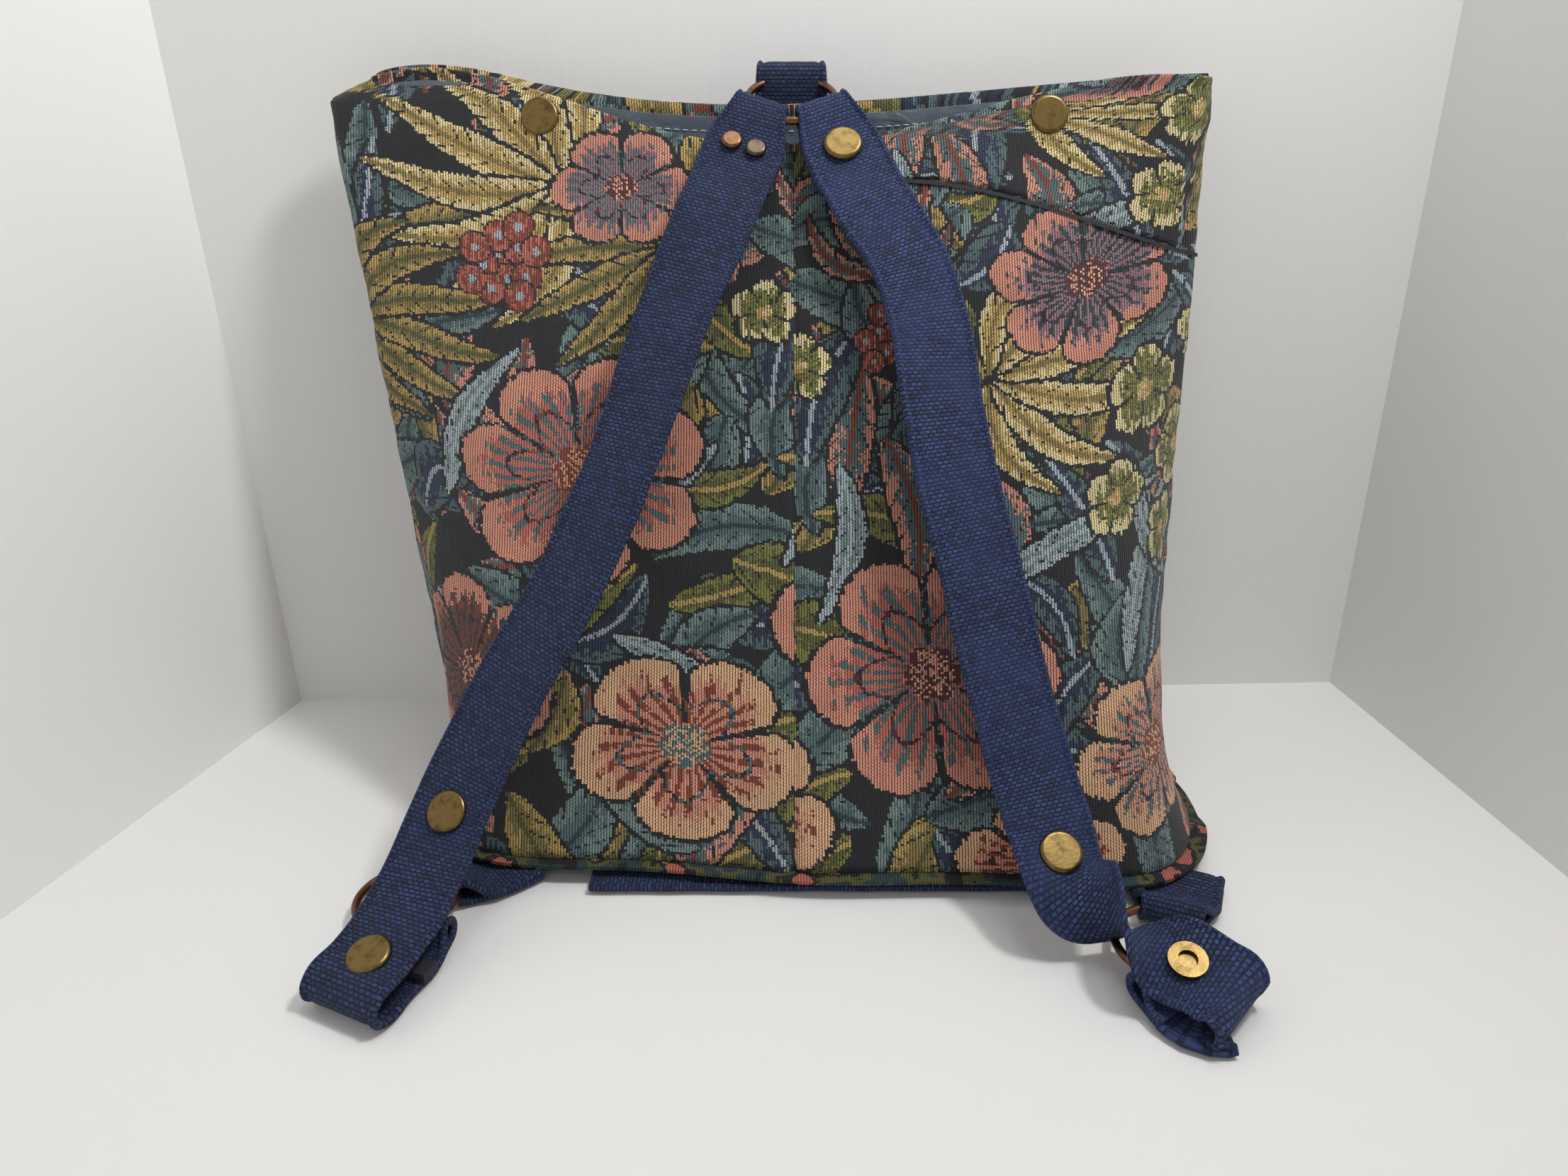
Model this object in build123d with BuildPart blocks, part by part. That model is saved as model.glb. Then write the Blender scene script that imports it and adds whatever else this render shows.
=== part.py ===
"""Empty two-strap tote backpack of tapestry cloth with snap-fastened webbing straps.

X runs to the right of the strap side, Y away from it and Z up. The origin is in the plane that
the bag stands on, at the middle of the base. Lengths are in millimetres.
"""
import os
from math import cos, radians, sin

from build123d import *

# Cloth and webbing
TAPESTRY = 1.4
LINING = 0.5
LINING_EASE = 0.3
PLIES = TAPESTRY + LINING_EASE + LINING
SEAM_GAP = 0.3
WEBBING_WIDTH = 32.0
WEBBING = 2.2
PLY_GAP = 0.3
GATHERED_WIDTH = 21.0

# Bag body
BASE_WIDTH = 256.0
BASE_DEPTH = 116.0
BASE_SHIFT = 5.0
BASE_SKEW = 16.0
BASE_RISE = 5.2
BASE_STEP = -24.0
BASE_SLOPE = 14.0
EAR_LEFT = 26.0
EAR_RIGHT = 35.0
EAR_HEIGHT = 34.0
WAIST_FLARE = 12.0
MOUTH_WIDTH = 352.0
MOUTH_SHIFT = -10.0
MOUTH_GAP = 17.0
MOUTH_PINCH = 8.6
BODY_HEIGHT = 268.0
FRONT_LEAN = 147.0
SIDE_NOSE = 2.8
SIDE_NOSE_DEPTH = 3.2
CUT_MARGIN = 30.0

# Rims: heights above the floor, rising from the open middle to the snapped corners
FRONT_RIM = 253.0
REAR_RIM = 267.0
RIM_CREST = 280.0
RIM_CORNER_LEFT = 270.0
RIM_CORNER_RIGHT = 277.0
CREST_PLACE = 142.0
HEM_DROP = 4.0

# Lap over the slit pocket, right of the centre seam
LAP_START = 31.0
LAP_START_HEIGHT = 241.0
LAP_END_HEIGHT = 212.0
LAP_SAG = 5.0
LAP_PIPING = 1.4

# Rings, each with its middle where it hangs
RING_RADIUS = 17.5
RING_WIRE = 1.5
RING_CLEARANCE = 0.35
TOP_RING = Vector(-1, 94.5, 269.5)
TOP_RING_TILT = 27.0
BASE_RING_LEFT = Vector(-139, -66, 5.6)
BASE_RING_RIGHT = Vector(126, -88.6, 5.6)
LOOP_RADIUS = 4.3
LOOP_SHIFT = 0.9
LOOP_NEAR = 13.0

# Webbing on the floor: heights of the middle of a lower and an upper ply
LOWER_PLY = 1.25
UPPER_PLY = 3.75
TAB_REACH = 28.0
STRAP_TAIL = 19.0
BINDING = 0.6
BINDING_LENGTH = 6.0
BINDING_LIFT = 0.7

# Snap fasteners and rivets
CAP_RADIUS = 7.5
CAP_RISE = 1.7
POST_RADIUS = 1.9
POST_CLEARANCE = 0.15
SEAT_CLEARANCE = 0.3
SEAT_DEPTH = 3.5
SOCKET_RADIUS = 6.2
SOCKET_HEIGHT = 2.2
SOCKET_WEB = 0.6
SOCKET_BORE = 3.1
STUD_RADIUS = 5.6
STUD_FLANGE = 0.8
STUD_NUB = 2.8
STUD_REACH = 1.4
RIVET_RADIUS = 4.0
RIVET_RISE = 1.3
RIVET_POST = 1.2
RIVET_PLACES = (-5, 5)
TOP_FASTENER = 18.0
SNAP_PLACE = 101.0
SNAP_DROP = 10.5


def mix(low, high, share):
    return low + (high - low) * share


def level(share):
    """Seam, shoulder and middle points of the body's outer section at a share of its height."""
    z = share * BODY_HEIGHT
    closed = min(1.0, share)
    shift = mix(BASE_SHIFT, MOUTH_SHIFT, share)
    ear = max(0.0, 1 - z / EAR_HEIGHT) ** 1.5
    half = mix(BASE_WIDTH / 2 + WAIST_FLARE, MOUTH_WIDTH / 2, share)
    left = shift - half - (EAR_LEFT - WAIST_FLARE) * ear
    right = shift + half + (EAR_RIGHT - WAIST_FLARE) * ear
    front_y = mix(-BASE_DEPTH / 2, FRONT_LEAN - BASE_DEPTH / 2, share)
    rear_y = front_y + mix(BASE_DEPTH, MOUTH_GAP, closed)
    seam_y = mix(front_y, rear_y, mix(0.53, 0.5, closed))
    shoulder = mix(BASE_WIDTH / 2, SNAP_PLACE, min(1.0, share * 1.15))
    skew = BASE_SKEW * (1 - closed)
    pinch = (rear_y - front_y - MOUTH_PINCH) / 2 * closed ** 4
    front = []
    rear = []
    for place in (-1.0, -0.5, 0.0, 0.5, 1.0):
        x = mix(shift, 0.0, closed) + place * shoulder
        front.append((x, front_y - min(place, 0.0) * skew + pinch * place ** 2))
        rear.append((x, rear_y - pinch * place ** 2))
    return z, (left, seam_y), (right, seam_y), front, rear


LEVELS = (0.0, 0.035, 0.08, 0.14, 0.3, 0.5, 0.7, 0.88, 1.0, 1.1)


def moved_in(points, depth, sign):
    """Points of one wall moved by depth towards the inside, square to the wall."""
    moved = [(points[0][0] + depth, points[0][1])]
    for before, point, after in zip(points, points[1:], points[2:]):
        run = Vector(after[0] - before[0], after[1] - before[1]).normalized()
        moved.append((point[0] - sign * run.Y * depth, point[1] + sign * run.X * depth))
    moved.append((points[-1][0] - depth, points[-1][1]))
    return moved


def section_points(share, side):
    """Outer points of one wall's section, from the left seam to the right one."""
    sign = 1 if side == "front" else -1
    z, left, right, front, rear = level(share)
    nose_left = (left[0] + SIDE_NOSE, left[1] - sign * SIDE_NOSE_DEPTH)
    nose_right = (right[0] - SIDE_NOSE, right[1] - sign * SIDE_NOSE_DEPTH)
    middle = front if side == "front" else rear
    return z, sign, [left, nose_left, *middle, nose_right, right]


def wall(side, outer_depth, inner_depth):
    """Loft of one wall, front or rear, between two depths below the body's outer surface."""
    with BuildPart() as shell:
        for share in LEVELS:
            z, sign, points = section_points(share, side)
            outer = moved_in(points, outer_depth, sign)
            inner = moved_in(points, inner_depth, sign)
            with BuildSketch(Plane.XY.offset(z)):
                with BuildLine():
                    Line(outer[0], outer[1])
                    Spline(outer[1:-1])
                    Line(outer[-2], outer[-1])
                    Line(outer[-1], inner[-1])
                    Line(inner[-1], inner[-2])
                    Spline(inner[-2:0:-1])
                    Line(inner[1], inner[0])
                    Line(inner[0], outer[0])
                make_face()
        loft(ruled=True)
    return shell.part


def above(rim_points):
    """Block of everything above a rim line given in X and Z."""
    (first_x, first_z), (last_x, last_z) = rim_points[0], rim_points[-1]
    top = BODY_HEIGHT + 2 * CUT_MARGIN
    with BuildPart() as block:
        with BuildSketch(Plane.XZ.offset(-BASE_DEPTH * 2)):
            with BuildLine():
                Spline(rim_points)
                Polyline(
                    (last_x, last_z),
                    (last_x + CUT_MARGIN, last_z),
                    (last_x + CUT_MARGIN, top),
                    (first_x - CUT_MARGIN, top),
                    (first_x - CUT_MARGIN, first_z),
                    (first_x, first_z),
                )
            make_face()
        extrude(amount=BASE_DEPTH * 4)
    return block.part


def lowered(points, drop):
    return [(x, z - drop) for x, z in points]


LEFT_CORNER = MOUTH_SHIFT - MOUTH_WIDTH / 2
RIGHT_CORNER = MOUTH_SHIFT + MOUTH_WIDTH / 2
FRONT_LINE = [
    (LEFT_CORNER, RIM_CORNER_LEFT),
    (-CREST_PLACE, RIM_CREST),
    (-SNAP_PLACE, mix(RIM_CREST, FRONT_RIM, 0.3)),
    (-SNAP_PLACE * 0.45, mix(RIM_CREST, FRONT_RIM, 0.88)),
    (0, FRONT_RIM),
    (SNAP_PLACE * 0.45, mix(RIM_CORNER_RIGHT, FRONT_RIM, 0.75)),
    (SNAP_PLACE, mix(RIM_CORNER_RIGHT, FRONT_RIM, 0.2)),
    (RIGHT_CORNER, RIM_CORNER_RIGHT),
]
REAR_LINE = [
    (LEFT_CORNER, RIM_CORNER_LEFT + 1),
    (-CREST_PLACE, RIM_CREST + 1),
    (-SNAP_PLACE, mix(RIM_CREST, REAR_RIM, 0.45)),
    (0, REAR_RIM),
    (SNAP_PLACE, mix(RIM_CORNER_RIGHT, REAR_RIM, 0.3)),
    (RIGHT_CORNER, RIM_CORNER_RIGHT + 1),
]


def base_profile(thickness, drop):
    """Section of the base in Y and Z: level at the rear, lifted over the webbing at the front."""
    front, rear = -BASE_DEPTH, BASE_DEPTH
    step = BASE_STEP
    return [
        (front, BASE_RISE + thickness),
        (step, BASE_RISE + thickness),
        (step + BASE_SLOPE, thickness),
        (rear, thickness),
        (rear, -drop),
        (front, -drop) if drop else (step + BASE_SLOPE, 0),
    ] + ([] if drop else [(step, BASE_RISE), (front, BASE_RISE)])


def base_block(thickness, drop=0.0):
    """The base's section drawn out over the whole width."""
    with BuildPart() as block:
        with BuildSketch(Plane.YZ.offset(-MOUTH_WIDTH)):
            with BuildLine():
                Polyline(*base_profile(thickness, drop), close=True)
            make_face()
        extrude(amount=2 * MOUTH_WIDTH)
    return block.part


def floor_column(front, rear, height):
    """Column from the floor between a front and a rear line of points, both left to right."""
    with BuildPart() as column:
        with BuildSketch():
            with BuildLine():
                Spline(front)
                Line(front[-1], rear[-1])
                Spline(rear[::-1])
                Line(rear[0], front[0])
            make_face()
        extrude(amount=height)
    return column.part


os.makedirs("parts", exist_ok=True)


def write(name, part):
    part.label = name
    export_step(part, f"parts/{name}.step")


def middle_plane(pair):
    """Plane in the middle of a flat stretch between two stations."""
    (start, across, _), (end, _, _) = pair
    along = (end - start).normalized()
    side = (across - along * across.dot(along)).normalized()
    return Plane((start + end) / 2, x_dir=side, z_dir=side.cross(along))


def seats(plane, stack, post, front_radius, back_radius):
    """Hole for a post and the seats that a fastener presses into a stack of cloth."""
    with BuildPart(plane) as space:
        Cylinder(post + POST_CLEARANCE, stack + 2 * SEAT_DEPTH)
        with Locations((0, 0, stack / 2)):
            Cylinder(front_radius + SEAT_CLEARANCE, SEAT_DEPTH, align=(Align.CENTER, Align.CENTER, Align.MIN))
        with Locations((0, 0, -stack / 2)):
            Cylinder(back_radius + SEAT_CLEARANCE, SEAT_DEPTH, align=(Align.CENTER, Align.CENTER, Align.MAX))
    return space.part


def cap(plane, radius, rise, post, stack):
    """Domed cap on a plane, with a post down through a stack of cloth."""
    with BuildPart(plane) as button:
        Cylinder(radius, rise, align=(Align.CENTER, Align.CENTER, Align.MIN))
        top = button.faces().sort_by(Axis(plane.origin, plane.z_dir))[-1]
        fillet(top.edges(), rise * 0.8)
        Cylinder(post, stack, align=(Align.CENTER, Align.CENTER, Align.MAX))
    return button.part


def socket(plane):
    """Socket half of a snap: a disc with a bore that is closed at the cloth."""
    with BuildPart(plane) as ring_piece:
        Cylinder(SOCKET_RADIUS, SOCKET_HEIGHT, align=(Align.CENTER, Align.CENTER, Align.MIN))
        with Locations((0, 0, SOCKET_HEIGHT)):
            Hole(SOCKET_BORE, SOCKET_HEIGHT - SOCKET_WEB)
    return ring_piece.part


def stud(plane):
    """Stud half of a snap: a flange with a nub."""
    with BuildPart(plane) as piece:
        Cylinder(STUD_RADIUS, STUD_FLANGE, align=(Align.CENTER, Align.CENTER, Align.MIN))
        Cylinder(STUD_NUB, STUD_FLANGE + STUD_REACH, align=(Align.CENTER, Align.CENTER, Align.MIN))
    return piece.part


def flipped(plane, drop):
    """Plane turned over at a distance below another."""
    return Plane(plane.origin - plane.z_dir * drop, x_dir=plane.x_dir, z_dir=-plane.z_dir)


def raised(plane, lift):
    return Plane(plane.origin + plane.z_dir * lift, x_dir=plane.x_dir, z_dir=plane.z_dir)


def write_snap(name, plane, stack, back):
    """Cap above a stack of cloth and a socket or stud below it."""
    write(f"{name}_cap", cap(raised(plane, stack / 2), CAP_RADIUS, CAP_RISE, POST_RADIUS, stack))
    under = flipped(plane, stack / 2)
    write(f"{name}_{back}", socket(under) if back == "socket" else stud(under))


def mouth_snap(side):
    """Plane midway between the walls at a mouth snap, facing the front, and half their distance."""
    rise = 0.02
    share = (mix(RIM_CORNER_RIGHT, FRONT_RIM, 0.2) - SNAP_DROP) / BODY_HEIGHT
    low, high = (section_middle(share + shift, side) for shift in (-rise, rise))
    slope = (high[0] - low[0]) / (2 * rise * BODY_HEIGHT)
    middle, half = section_middle(share, side)
    facing = Vector(0, -1, slope).normalized()
    return Plane((side * SNAP_PLACE, middle, share * BODY_HEIGHT), x_dir=(1, 0, 0), z_dir=facing), half


def section_middle(share, side):
    """Middle and half distance of the walls in Y, in line with a mouth snap."""
    _, _, _, front, rear = level(share)
    index = 0 if side < 0 else -1
    return (front[index][1] + rear[index][1]) / 2, (rear[index][1] - front[index][1]) / 2 * 0.94


# Snaps of the mouth: the seats are cut from every ply
mouth_planes = {}
mouth_seats = []
for name, side, lap_stack in (("mouth_snap_left", -1, 0.0), ("mouth_snap_right", 1, TAPESTRY + SEAM_GAP)):
    plane, half = mouth_snap(side)
    outer = half + lap_stack
    mouth_planes[name] = (plane, outer, half)
    with BuildPart(plane) as space:
        Cylinder(POST_RADIUS + POST_CLEARANCE, 4 * half)
        with Locations((0, 0, outer)):
            Cylinder(CAP_RADIUS + SEAT_CLEARANCE, SEAT_DEPTH, align=(Align.CENTER, Align.CENTER, Align.MIN))
        with Locations((0, 0, -half)):
            Cylinder(CAP_RADIUS + SEAT_CLEARANCE, SEAT_DEPTH, align=(Align.CENTER, Align.CENTER, Align.MAX))
        Cylinder(SOCKET_RADIUS + SEAT_CLEARANCE, 2 * (half - PLIES))
    mouth_seats.append(space.part)

# Body walls
below_wall = base_block(TAPESTRY + SEAM_GAP, CUT_MARGIN)
with BuildPart() as front_wall:
    add(wall("front", 0.0, TAPESTRY))
    add(above(FRONT_LINE), mode=Mode.SUBTRACT)
    add(below_wall, mode=Mode.SUBTRACT)
    for space in mouth_seats:
        add(space, mode=Mode.SUBTRACT)

with BuildPart() as face_panel_left:
    add(front_wall.part)
    split(bisect_by=Plane.YZ.offset(-SEAM_GAP / 2), keep=Keep.BOTTOM)
write("face_panel_left", face_panel_left.part)

with BuildPart() as face_panel_right:
    add(front_wall.part)
    split(bisect_by=Plane.YZ.offset(SEAM_GAP / 2), keep=Keep.TOP)
write("face_panel_right", face_panel_right.part)

with BuildPart() as rear_panel:
    add(wall("rear", 0.0, TAPESTRY))
    add(above(REAR_LINE), mode=Mode.SUBTRACT)
    add(below_wall, mode=Mode.SUBTRACT)
    for space in mouth_seats:
        add(space, mode=Mode.SUBTRACT)
write("rear_panel", rear_panel.part)

with BuildPart() as base_panel:
    front_line, rear_line = (section_points(0.0, side)[2][1:-1] for side in ("front", "rear"))
    add(floor_column(front_line, rear_line, TAPESTRY + BASE_RISE))
    add(base_block(TAPESTRY), mode=Mode.INTERSECT)
write("base_panel", base_panel.part)

# Lining, one ply inside each wall and one on the base
lining_depth = TAPESTRY + LINING_EASE
below_lining = base_block(TAPESTRY + LINING_EASE + LINING + SEAM_GAP, CUT_MARGIN)
for name, side, line in (("lining_front", "front", FRONT_LINE), ("lining_rear", "rear", REAR_LINE)):
    with BuildPart() as ply:
        add(wall(side, lining_depth, lining_depth + LINING))
        add(above(lowered(line, HEM_DROP)), mode=Mode.SUBTRACT)
        add(below_lining, mode=Mode.SUBTRACT)
        for space in mouth_seats:
            add(space, mode=Mode.SUBTRACT)
    write(name, ply.part)

with BuildPart() as lining_base:
    depth = lining_depth + LINING + BASE_RISE
    front_line = moved_in(section_points(0.0, "front")[2], depth, 1)[2:-2]
    rear_line = moved_in(section_points(0.0, "rear")[2], depth, -1)[2:-2]
    add(floor_column(front_line, rear_line, TAPESTRY + BASE_RISE + LINING + LINING_EASE))
    add(base_block(TAPESTRY + LINING_EASE + LINING), mode=Mode.INTERSECT)
    add(base_block(TAPESTRY + LINING_EASE, CUT_MARGIN), mode=Mode.SUBTRACT)
write("lining_base", lining_base.part)


# Lap over the slit pocket and the piping along its edge
def lap_region(drop, height):
    """Block in front of the bag between the lap's edge, lowered, and a height above it."""
    end = RIGHT_CORNER + CUT_MARGIN
    edge = [
        (LAP_START, LAP_START_HEIGHT - drop),
        (mix(LAP_START, RIGHT_CORNER, 0.5), mix(LAP_START_HEIGHT, LAP_END_HEIGHT, 0.5) + LAP_SAG - drop),
        (RIGHT_CORNER, LAP_END_HEIGHT - drop),
        (end, LAP_END_HEIGHT - LAP_SAG - drop),
    ]
    with BuildPart() as block:
        with BuildSketch(Plane.XZ.offset(-BASE_DEPTH * 2)):
            with BuildLine():
                Spline(edge)
                Line(edge[-1], (end, edge[-1][1] + height))
                Spline([(x, z + height) for x, z in reversed(edge)])
                Line((LAP_START, edge[0][1] + height), edge[0])
            make_face()
        extrude(amount=BASE_DEPTH * 4)
    return block.part


for name, drop, height in (
    ("pocket_lap", 0.0, BODY_HEIGHT / 2),
    ("lap_piping", LAP_PIPING + SEAM_GAP, LAP_PIPING),
):
    with BuildPart() as layer:
        add(wall("front", -SEAM_GAP - TAPESTRY, -SEAM_GAP))
        add(lap_region(drop, height), mode=Mode.INTERSECT)
        add(above(FRONT_LINE), mode=Mode.SUBTRACT)
        for space in mouth_seats:
            add(space, mode=Mode.SUBTRACT)
    write(name, layer.part)

# Mouth snaps: cap and socket on the front wall, back cap and stud on the rear one
for name, (plane, outer, half) in mouth_planes.items():
    outside = raised(plane, outer)
    write(f"{name}_cap", cap(outside, CAP_RADIUS, CAP_RISE, POST_RADIUS, outer - half + PLIES))
    write(f"{name}_socket", socket(flipped(plane, PLIES - half)))
    behind = flipped(plane, half)
    write(f"{name}_back_cap", cap(behind, CAP_RADIUS, CAP_RISE, POST_RADIUS, PLIES))
    write(f"{name}_stud", stud(raised(plane, PLIES - half)))


# Ribbons of webbing: a ruled loft through stations of place, width direction and width
def ribbon(stations, thickness=WEBBING):
    """Webbing through stations of (place, width direction, width)."""
    places = [station[0] for station in stations]
    with BuildPart() as band:
        for index, (place, across, width) in enumerate(stations):
            before = places[max(index - 1, 0)]
            after = places[min(index + 1, len(places) - 1)]
            along = (after - before).normalized()
            side = (across - along * across.dot(along)).normalized()
            with BuildSketch(Plane(place, x_dir=side, z_dir=along)):
                Rectangle(width, thickness)
        loft(ruled=True)
    return band.part


def loop(wire, along, across, near_width, far_width, tail):
    """Stations of a band that comes in along -along, turns round a wire and goes back by tail."""
    face = along.cross(across)
    half = (WEBBING + PLY_GAP) / 2
    middle = wire - along * LOOP_SHIFT
    stations = [(wire + along * LOOP_NEAR + face * half, across, far_width)]
    for angle in range(75, 300, 30):
        turn = radians(angle)
        place = middle + along * (LOOP_RADIUS * cos(turn)) + face * (LOOP_RADIUS * sin(turn))
        stations.append((place, across, near_width))
    stations.append((wire + along * LOOP_NEAR - face * half, across, far_width))
    stations.append((wire + along * tail - face * half, across, far_width))
    return stations


def level_direction(angle):
    """Unit vector in the floor's plane, at an angle from +X."""
    return Vector(cos(radians(angle)), sin(radians(angle)), 0)


def ring_point(middle, tilt, angle):
    """Point of a ring's wire, at an angle from +X in the ring's own plane."""
    flat = level_direction(angle) * RING_RADIUS
    return middle + Vector(flat.X, flat.Y * cos(radians(tilt)), flat.Y * sin(radians(tilt)))


def ring(middle, tilt, wire_radius):
    """Round wire ring, or the space round one when the radius is larger."""
    plane = Plane(middle, x_dir=(1, 0, 0), z_dir=(0, -sin(radians(tilt)), cos(radians(tilt))))
    with BuildPart(plane) as torus:
        Torus(RING_RADIUS, wire_radius)
    return torus.part


RINGS = (
    ("top_ring", TOP_RING, TOP_RING_TILT),
    ("base_ring_left", BASE_RING_LEFT, 0.0),
    ("base_ring_right", BASE_RING_RIGHT, 0.0),
)
for name, middle, tilt in RINGS:
    write(name, ring(middle, tilt, RING_WIRE))
ring_space = [ring(middle, tilt, RING_WIRE + RING_CLEARANCE) for _, middle, tilt in RINGS]


def across_at(angle, dip):
    """Width direction of a band: an angle from +X in plan and a dip of its right edge."""
    return Vector(cos(radians(angle)), sin(radians(angle)), -dip).normalized()


def run_stations(run):
    return [(place, across_at(angle, dip), WEBBING_WIDTH) for place, angle, dip in run]


def hairpin(middle, out, radius, across_start, across_end):
    """Stations of a fold that turns from above to below, bulging along out."""
    stations = []
    for index, angle in enumerate((60, 20, -20, -60, -90)):
        turn = radians(angle)
        share = index / 4
        offset = out * (radius * cos(turn)) + Vector(0, 0, radius * sin(turn))
        across = across_start * (1 - share) + across_end * share
        stations.append((middle + offset, across, WEBBING_WIDTH))
    return stations


def floor_loop(wire, along, across, reach, tail, lift=0.0):
    """Stations of a band on the floor that comes in below, turns round a wire and lies on top."""
    stations = []
    for place, height, width in (
        (reach, LOWER_PLY, WEBBING_WIDTH),
        (10, LOWER_PLY, WEBBING_WIDTH),
        (4, LOWER_PLY, mix(GATHERED_WIDTH, WEBBING_WIDTH, 0.4)),
        (0, LOWER_PLY + 0.1, GATHERED_WIDTH),
        (-3.2, 2.5, GATHERED_WIDTH),
        (-4.6, wire.Z, GATHERED_WIDTH),
        (-3.2, 8.7, GATHERED_WIDTH),
        (0, 9.7, GATHERED_WIDTH),
        (3.4, 7.3, mix(GATHERED_WIDTH, WEBBING_WIDTH, 0.4)),
        (7, UPPER_PLY, WEBBING_WIDTH),
        (tail, UPPER_PLY + lift, WEBBING_WIDTH),
    ):
        middle = wire + along * place
        stations.append((Vector(middle.X, middle.Y, height), across, width))
    return stations


def station_plane(stations, index):
    """Plane on a band at one station, with its normal out of the band's face."""
    place, across, _ = stations[index]
    along = (stations[index + 1][0] - stations[index - 1][0]).normalized()
    side = (across - along * across.dot(along)).normalized()
    return Plane(place, x_dir=side, z_dir=side.cross(along))


# Left strap: folded over the top ring, down to a fold on the floor and back to the base ring
TWO_PLIES = 2 * WEBBING + PLY_GAP
RIVET_STACK = TWO_PLIES + 2 * SEAM_GAP
left_wire = ring_point(TOP_RING, TOP_RING_TILT, 223)
left_along = (Vector(-28, 55, 233) - left_wire).normalized()
left_across = across_at(-14, 0.3)
left_top = loop(left_wire, left_along, left_across, GATHERED_WIDTH, WEBBING_WIDTH, 34.0)
left_run = run_stations([
    (Vector(-30, 51, 229), -17, 0.24),
    (Vector(-45, 29, 196), -25, 0.1),
    (Vector(-59, 6, 158), -29, 0.0),
    (Vector(-70, -8, 132), -30, 0.0),
    (Vector(-84, -23, 105), -29, 0.0),
    (Vector(-101, -38, 78), -27, 0.0),
    (Vector(-115, -52, 52), -23, 0.0),
    (Vector(-121.5, -61, 39), -21, 0.0),
    (Vector(-127, -74, 26.5), -19, 0.0),
    (Vector(-132, -89, 18), -19, 0.0),
    (Vector(-138, -104, 13), -22, 0.0),
])
left_fold = hairpin(
    Vector(-142, -113.5, 6.4), level_direction(-116), 5.1, level_direction(-25), level_direction(-23)
)
left_base_wire = ring_point(BASE_RING_LEFT, 0, 305)
left_base_along = level_direction(-113)
left_back = floor_loop(
    left_base_wire, left_base_along, level_direction(-23), 27, STRAP_TAIL, BINDING_LIFT
)
left_stations = left_top[::-1] + left_run + left_fold + left_back
left_snaps = [flipped(station_plane(left_stations, len(left_top) + index), 0) for index in (7, 10)]

# Right strap: bulges to the right, half turns near the floor and folds back to its base ring
right_wire = ring_point(TOP_RING, TOP_RING_TILT, 317)
right_along = (Vector(28, 57, 235) - right_wire).normalized()
right_across = across_at(14, -0.3)
right_top = loop(right_wire, right_along, right_across, GATHERED_WIDTH, WEBBING_WIDTH, 34.0)
right_run = run_stations([
    (Vector(31, 53, 231), 18, -0.3),
    (Vector(42, 42, 215), 24, -0.3),
    (Vector(49, 29, 196), 22, -0.2),
    (Vector(54, 9, 166), 18, -0.1),
    (Vector(59, -5, 141), 16, -0.1),
    (Vector(66, -19, 116), 16, -0.1),
    (Vector(73, -33, 88), 16, -0.1),
    (Vector(80, -46, 63), 16, -0.1),
    (Vector(85, -55, 46.5), 15, -0.1),
    (Vector(88.5, -65.5, 36), 14, -0.1),
    (Vector(93, -80.5, 25.2), 14, -0.1),
])
RIGHT_TWIST = [
    (Vector(96.8, -85.8, 22.6), 32),
    (Vector(101, -90, 20.8), 62),
    (Vector(105, -93.3, 19.4), 92),
    (Vector(109.3, -96.9, 18), 122),
    (Vector(113.5, -100.3, 16.6), 152),
    (Vector(118, -103.8, 15.5), 186),
    (Vector(131, -113.9, 13.7), 186),
]


def half_turn(run, start):
    """Stations of a half turn that begins with one width direction."""
    stations = []
    for index, (place, angle) in enumerate(run):
        before = run[max(index - 1, 0)][0]
        after = run[min(index + 1, len(run) - 1)][0]
        along = (after - before).normalized()
        side = (start - along * start.dot(along)).normalized()
        turned = side * cos(radians(angle)) + along.cross(side) * sin(radians(angle))
        stations.append((place, turned, WEBBING_WIDTH))
    return stations


right_turn = half_turn(RIGHT_TWIST, across_at(14, -0.1))
right_fold = hairpin(
    Vector(134.5, -117, 7.2), level_direction(-53), 5.9, right_turn[-1][1], level_direction(217)
)
right_base_wire = ring_point(BASE_RING_RIGHT, 0, 244)
right_base_along = level_direction(-53)
right_back = floor_loop(right_base_wire, right_base_along, level_direction(217), 16, 12)
right_stations = right_top[::-1] + right_run + right_turn + right_fold + right_back
right_snap = flipped(middle_plane(right_run[-2:]), 0)
right_end_snap = middle_plane(right_turn[-2:])

left_top_plane = Plane(
    left_wire + left_along * TOP_FASTENER, x_dir=left_across, z_dir=left_along.cross(left_across)
)
right_top_plane = Plane(
    right_wire + right_along * TOP_FASTENER, x_dir=right_across, z_dir=right_along.cross(right_across)
)
rivets = [
    Plane(left_top_plane.from_local_coords((place, 0, 0)), x_dir=left_top_plane.x_dir, z_dir=left_top_plane.z_dir)
    for place in RIVET_PLACES
]
left_cuts = [seats(plane, WEBBING, POST_RADIUS, CAP_RADIUS, SOCKET_RADIUS) for plane in left_snaps]
for plane in rivets:
    with BuildPart(plane) as hole:
        Cylinder(RIVET_POST + POST_CLEARANCE, RIVET_STACK + 2 * RIVET_RISE)
    left_cuts.append(hole.part)
right_cuts = [
    seats(right_snap, WEBBING, POST_RADIUS, CAP_RADIUS, SOCKET_RADIUS),
    seats(right_end_snap, WEBBING, POST_RADIUS, CAP_RADIUS, CAP_RADIUS),
    seats(right_top_plane, TWO_PLIES, POST_RADIUS, CAP_RADIUS, SOCKET_RADIUS),
]
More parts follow.
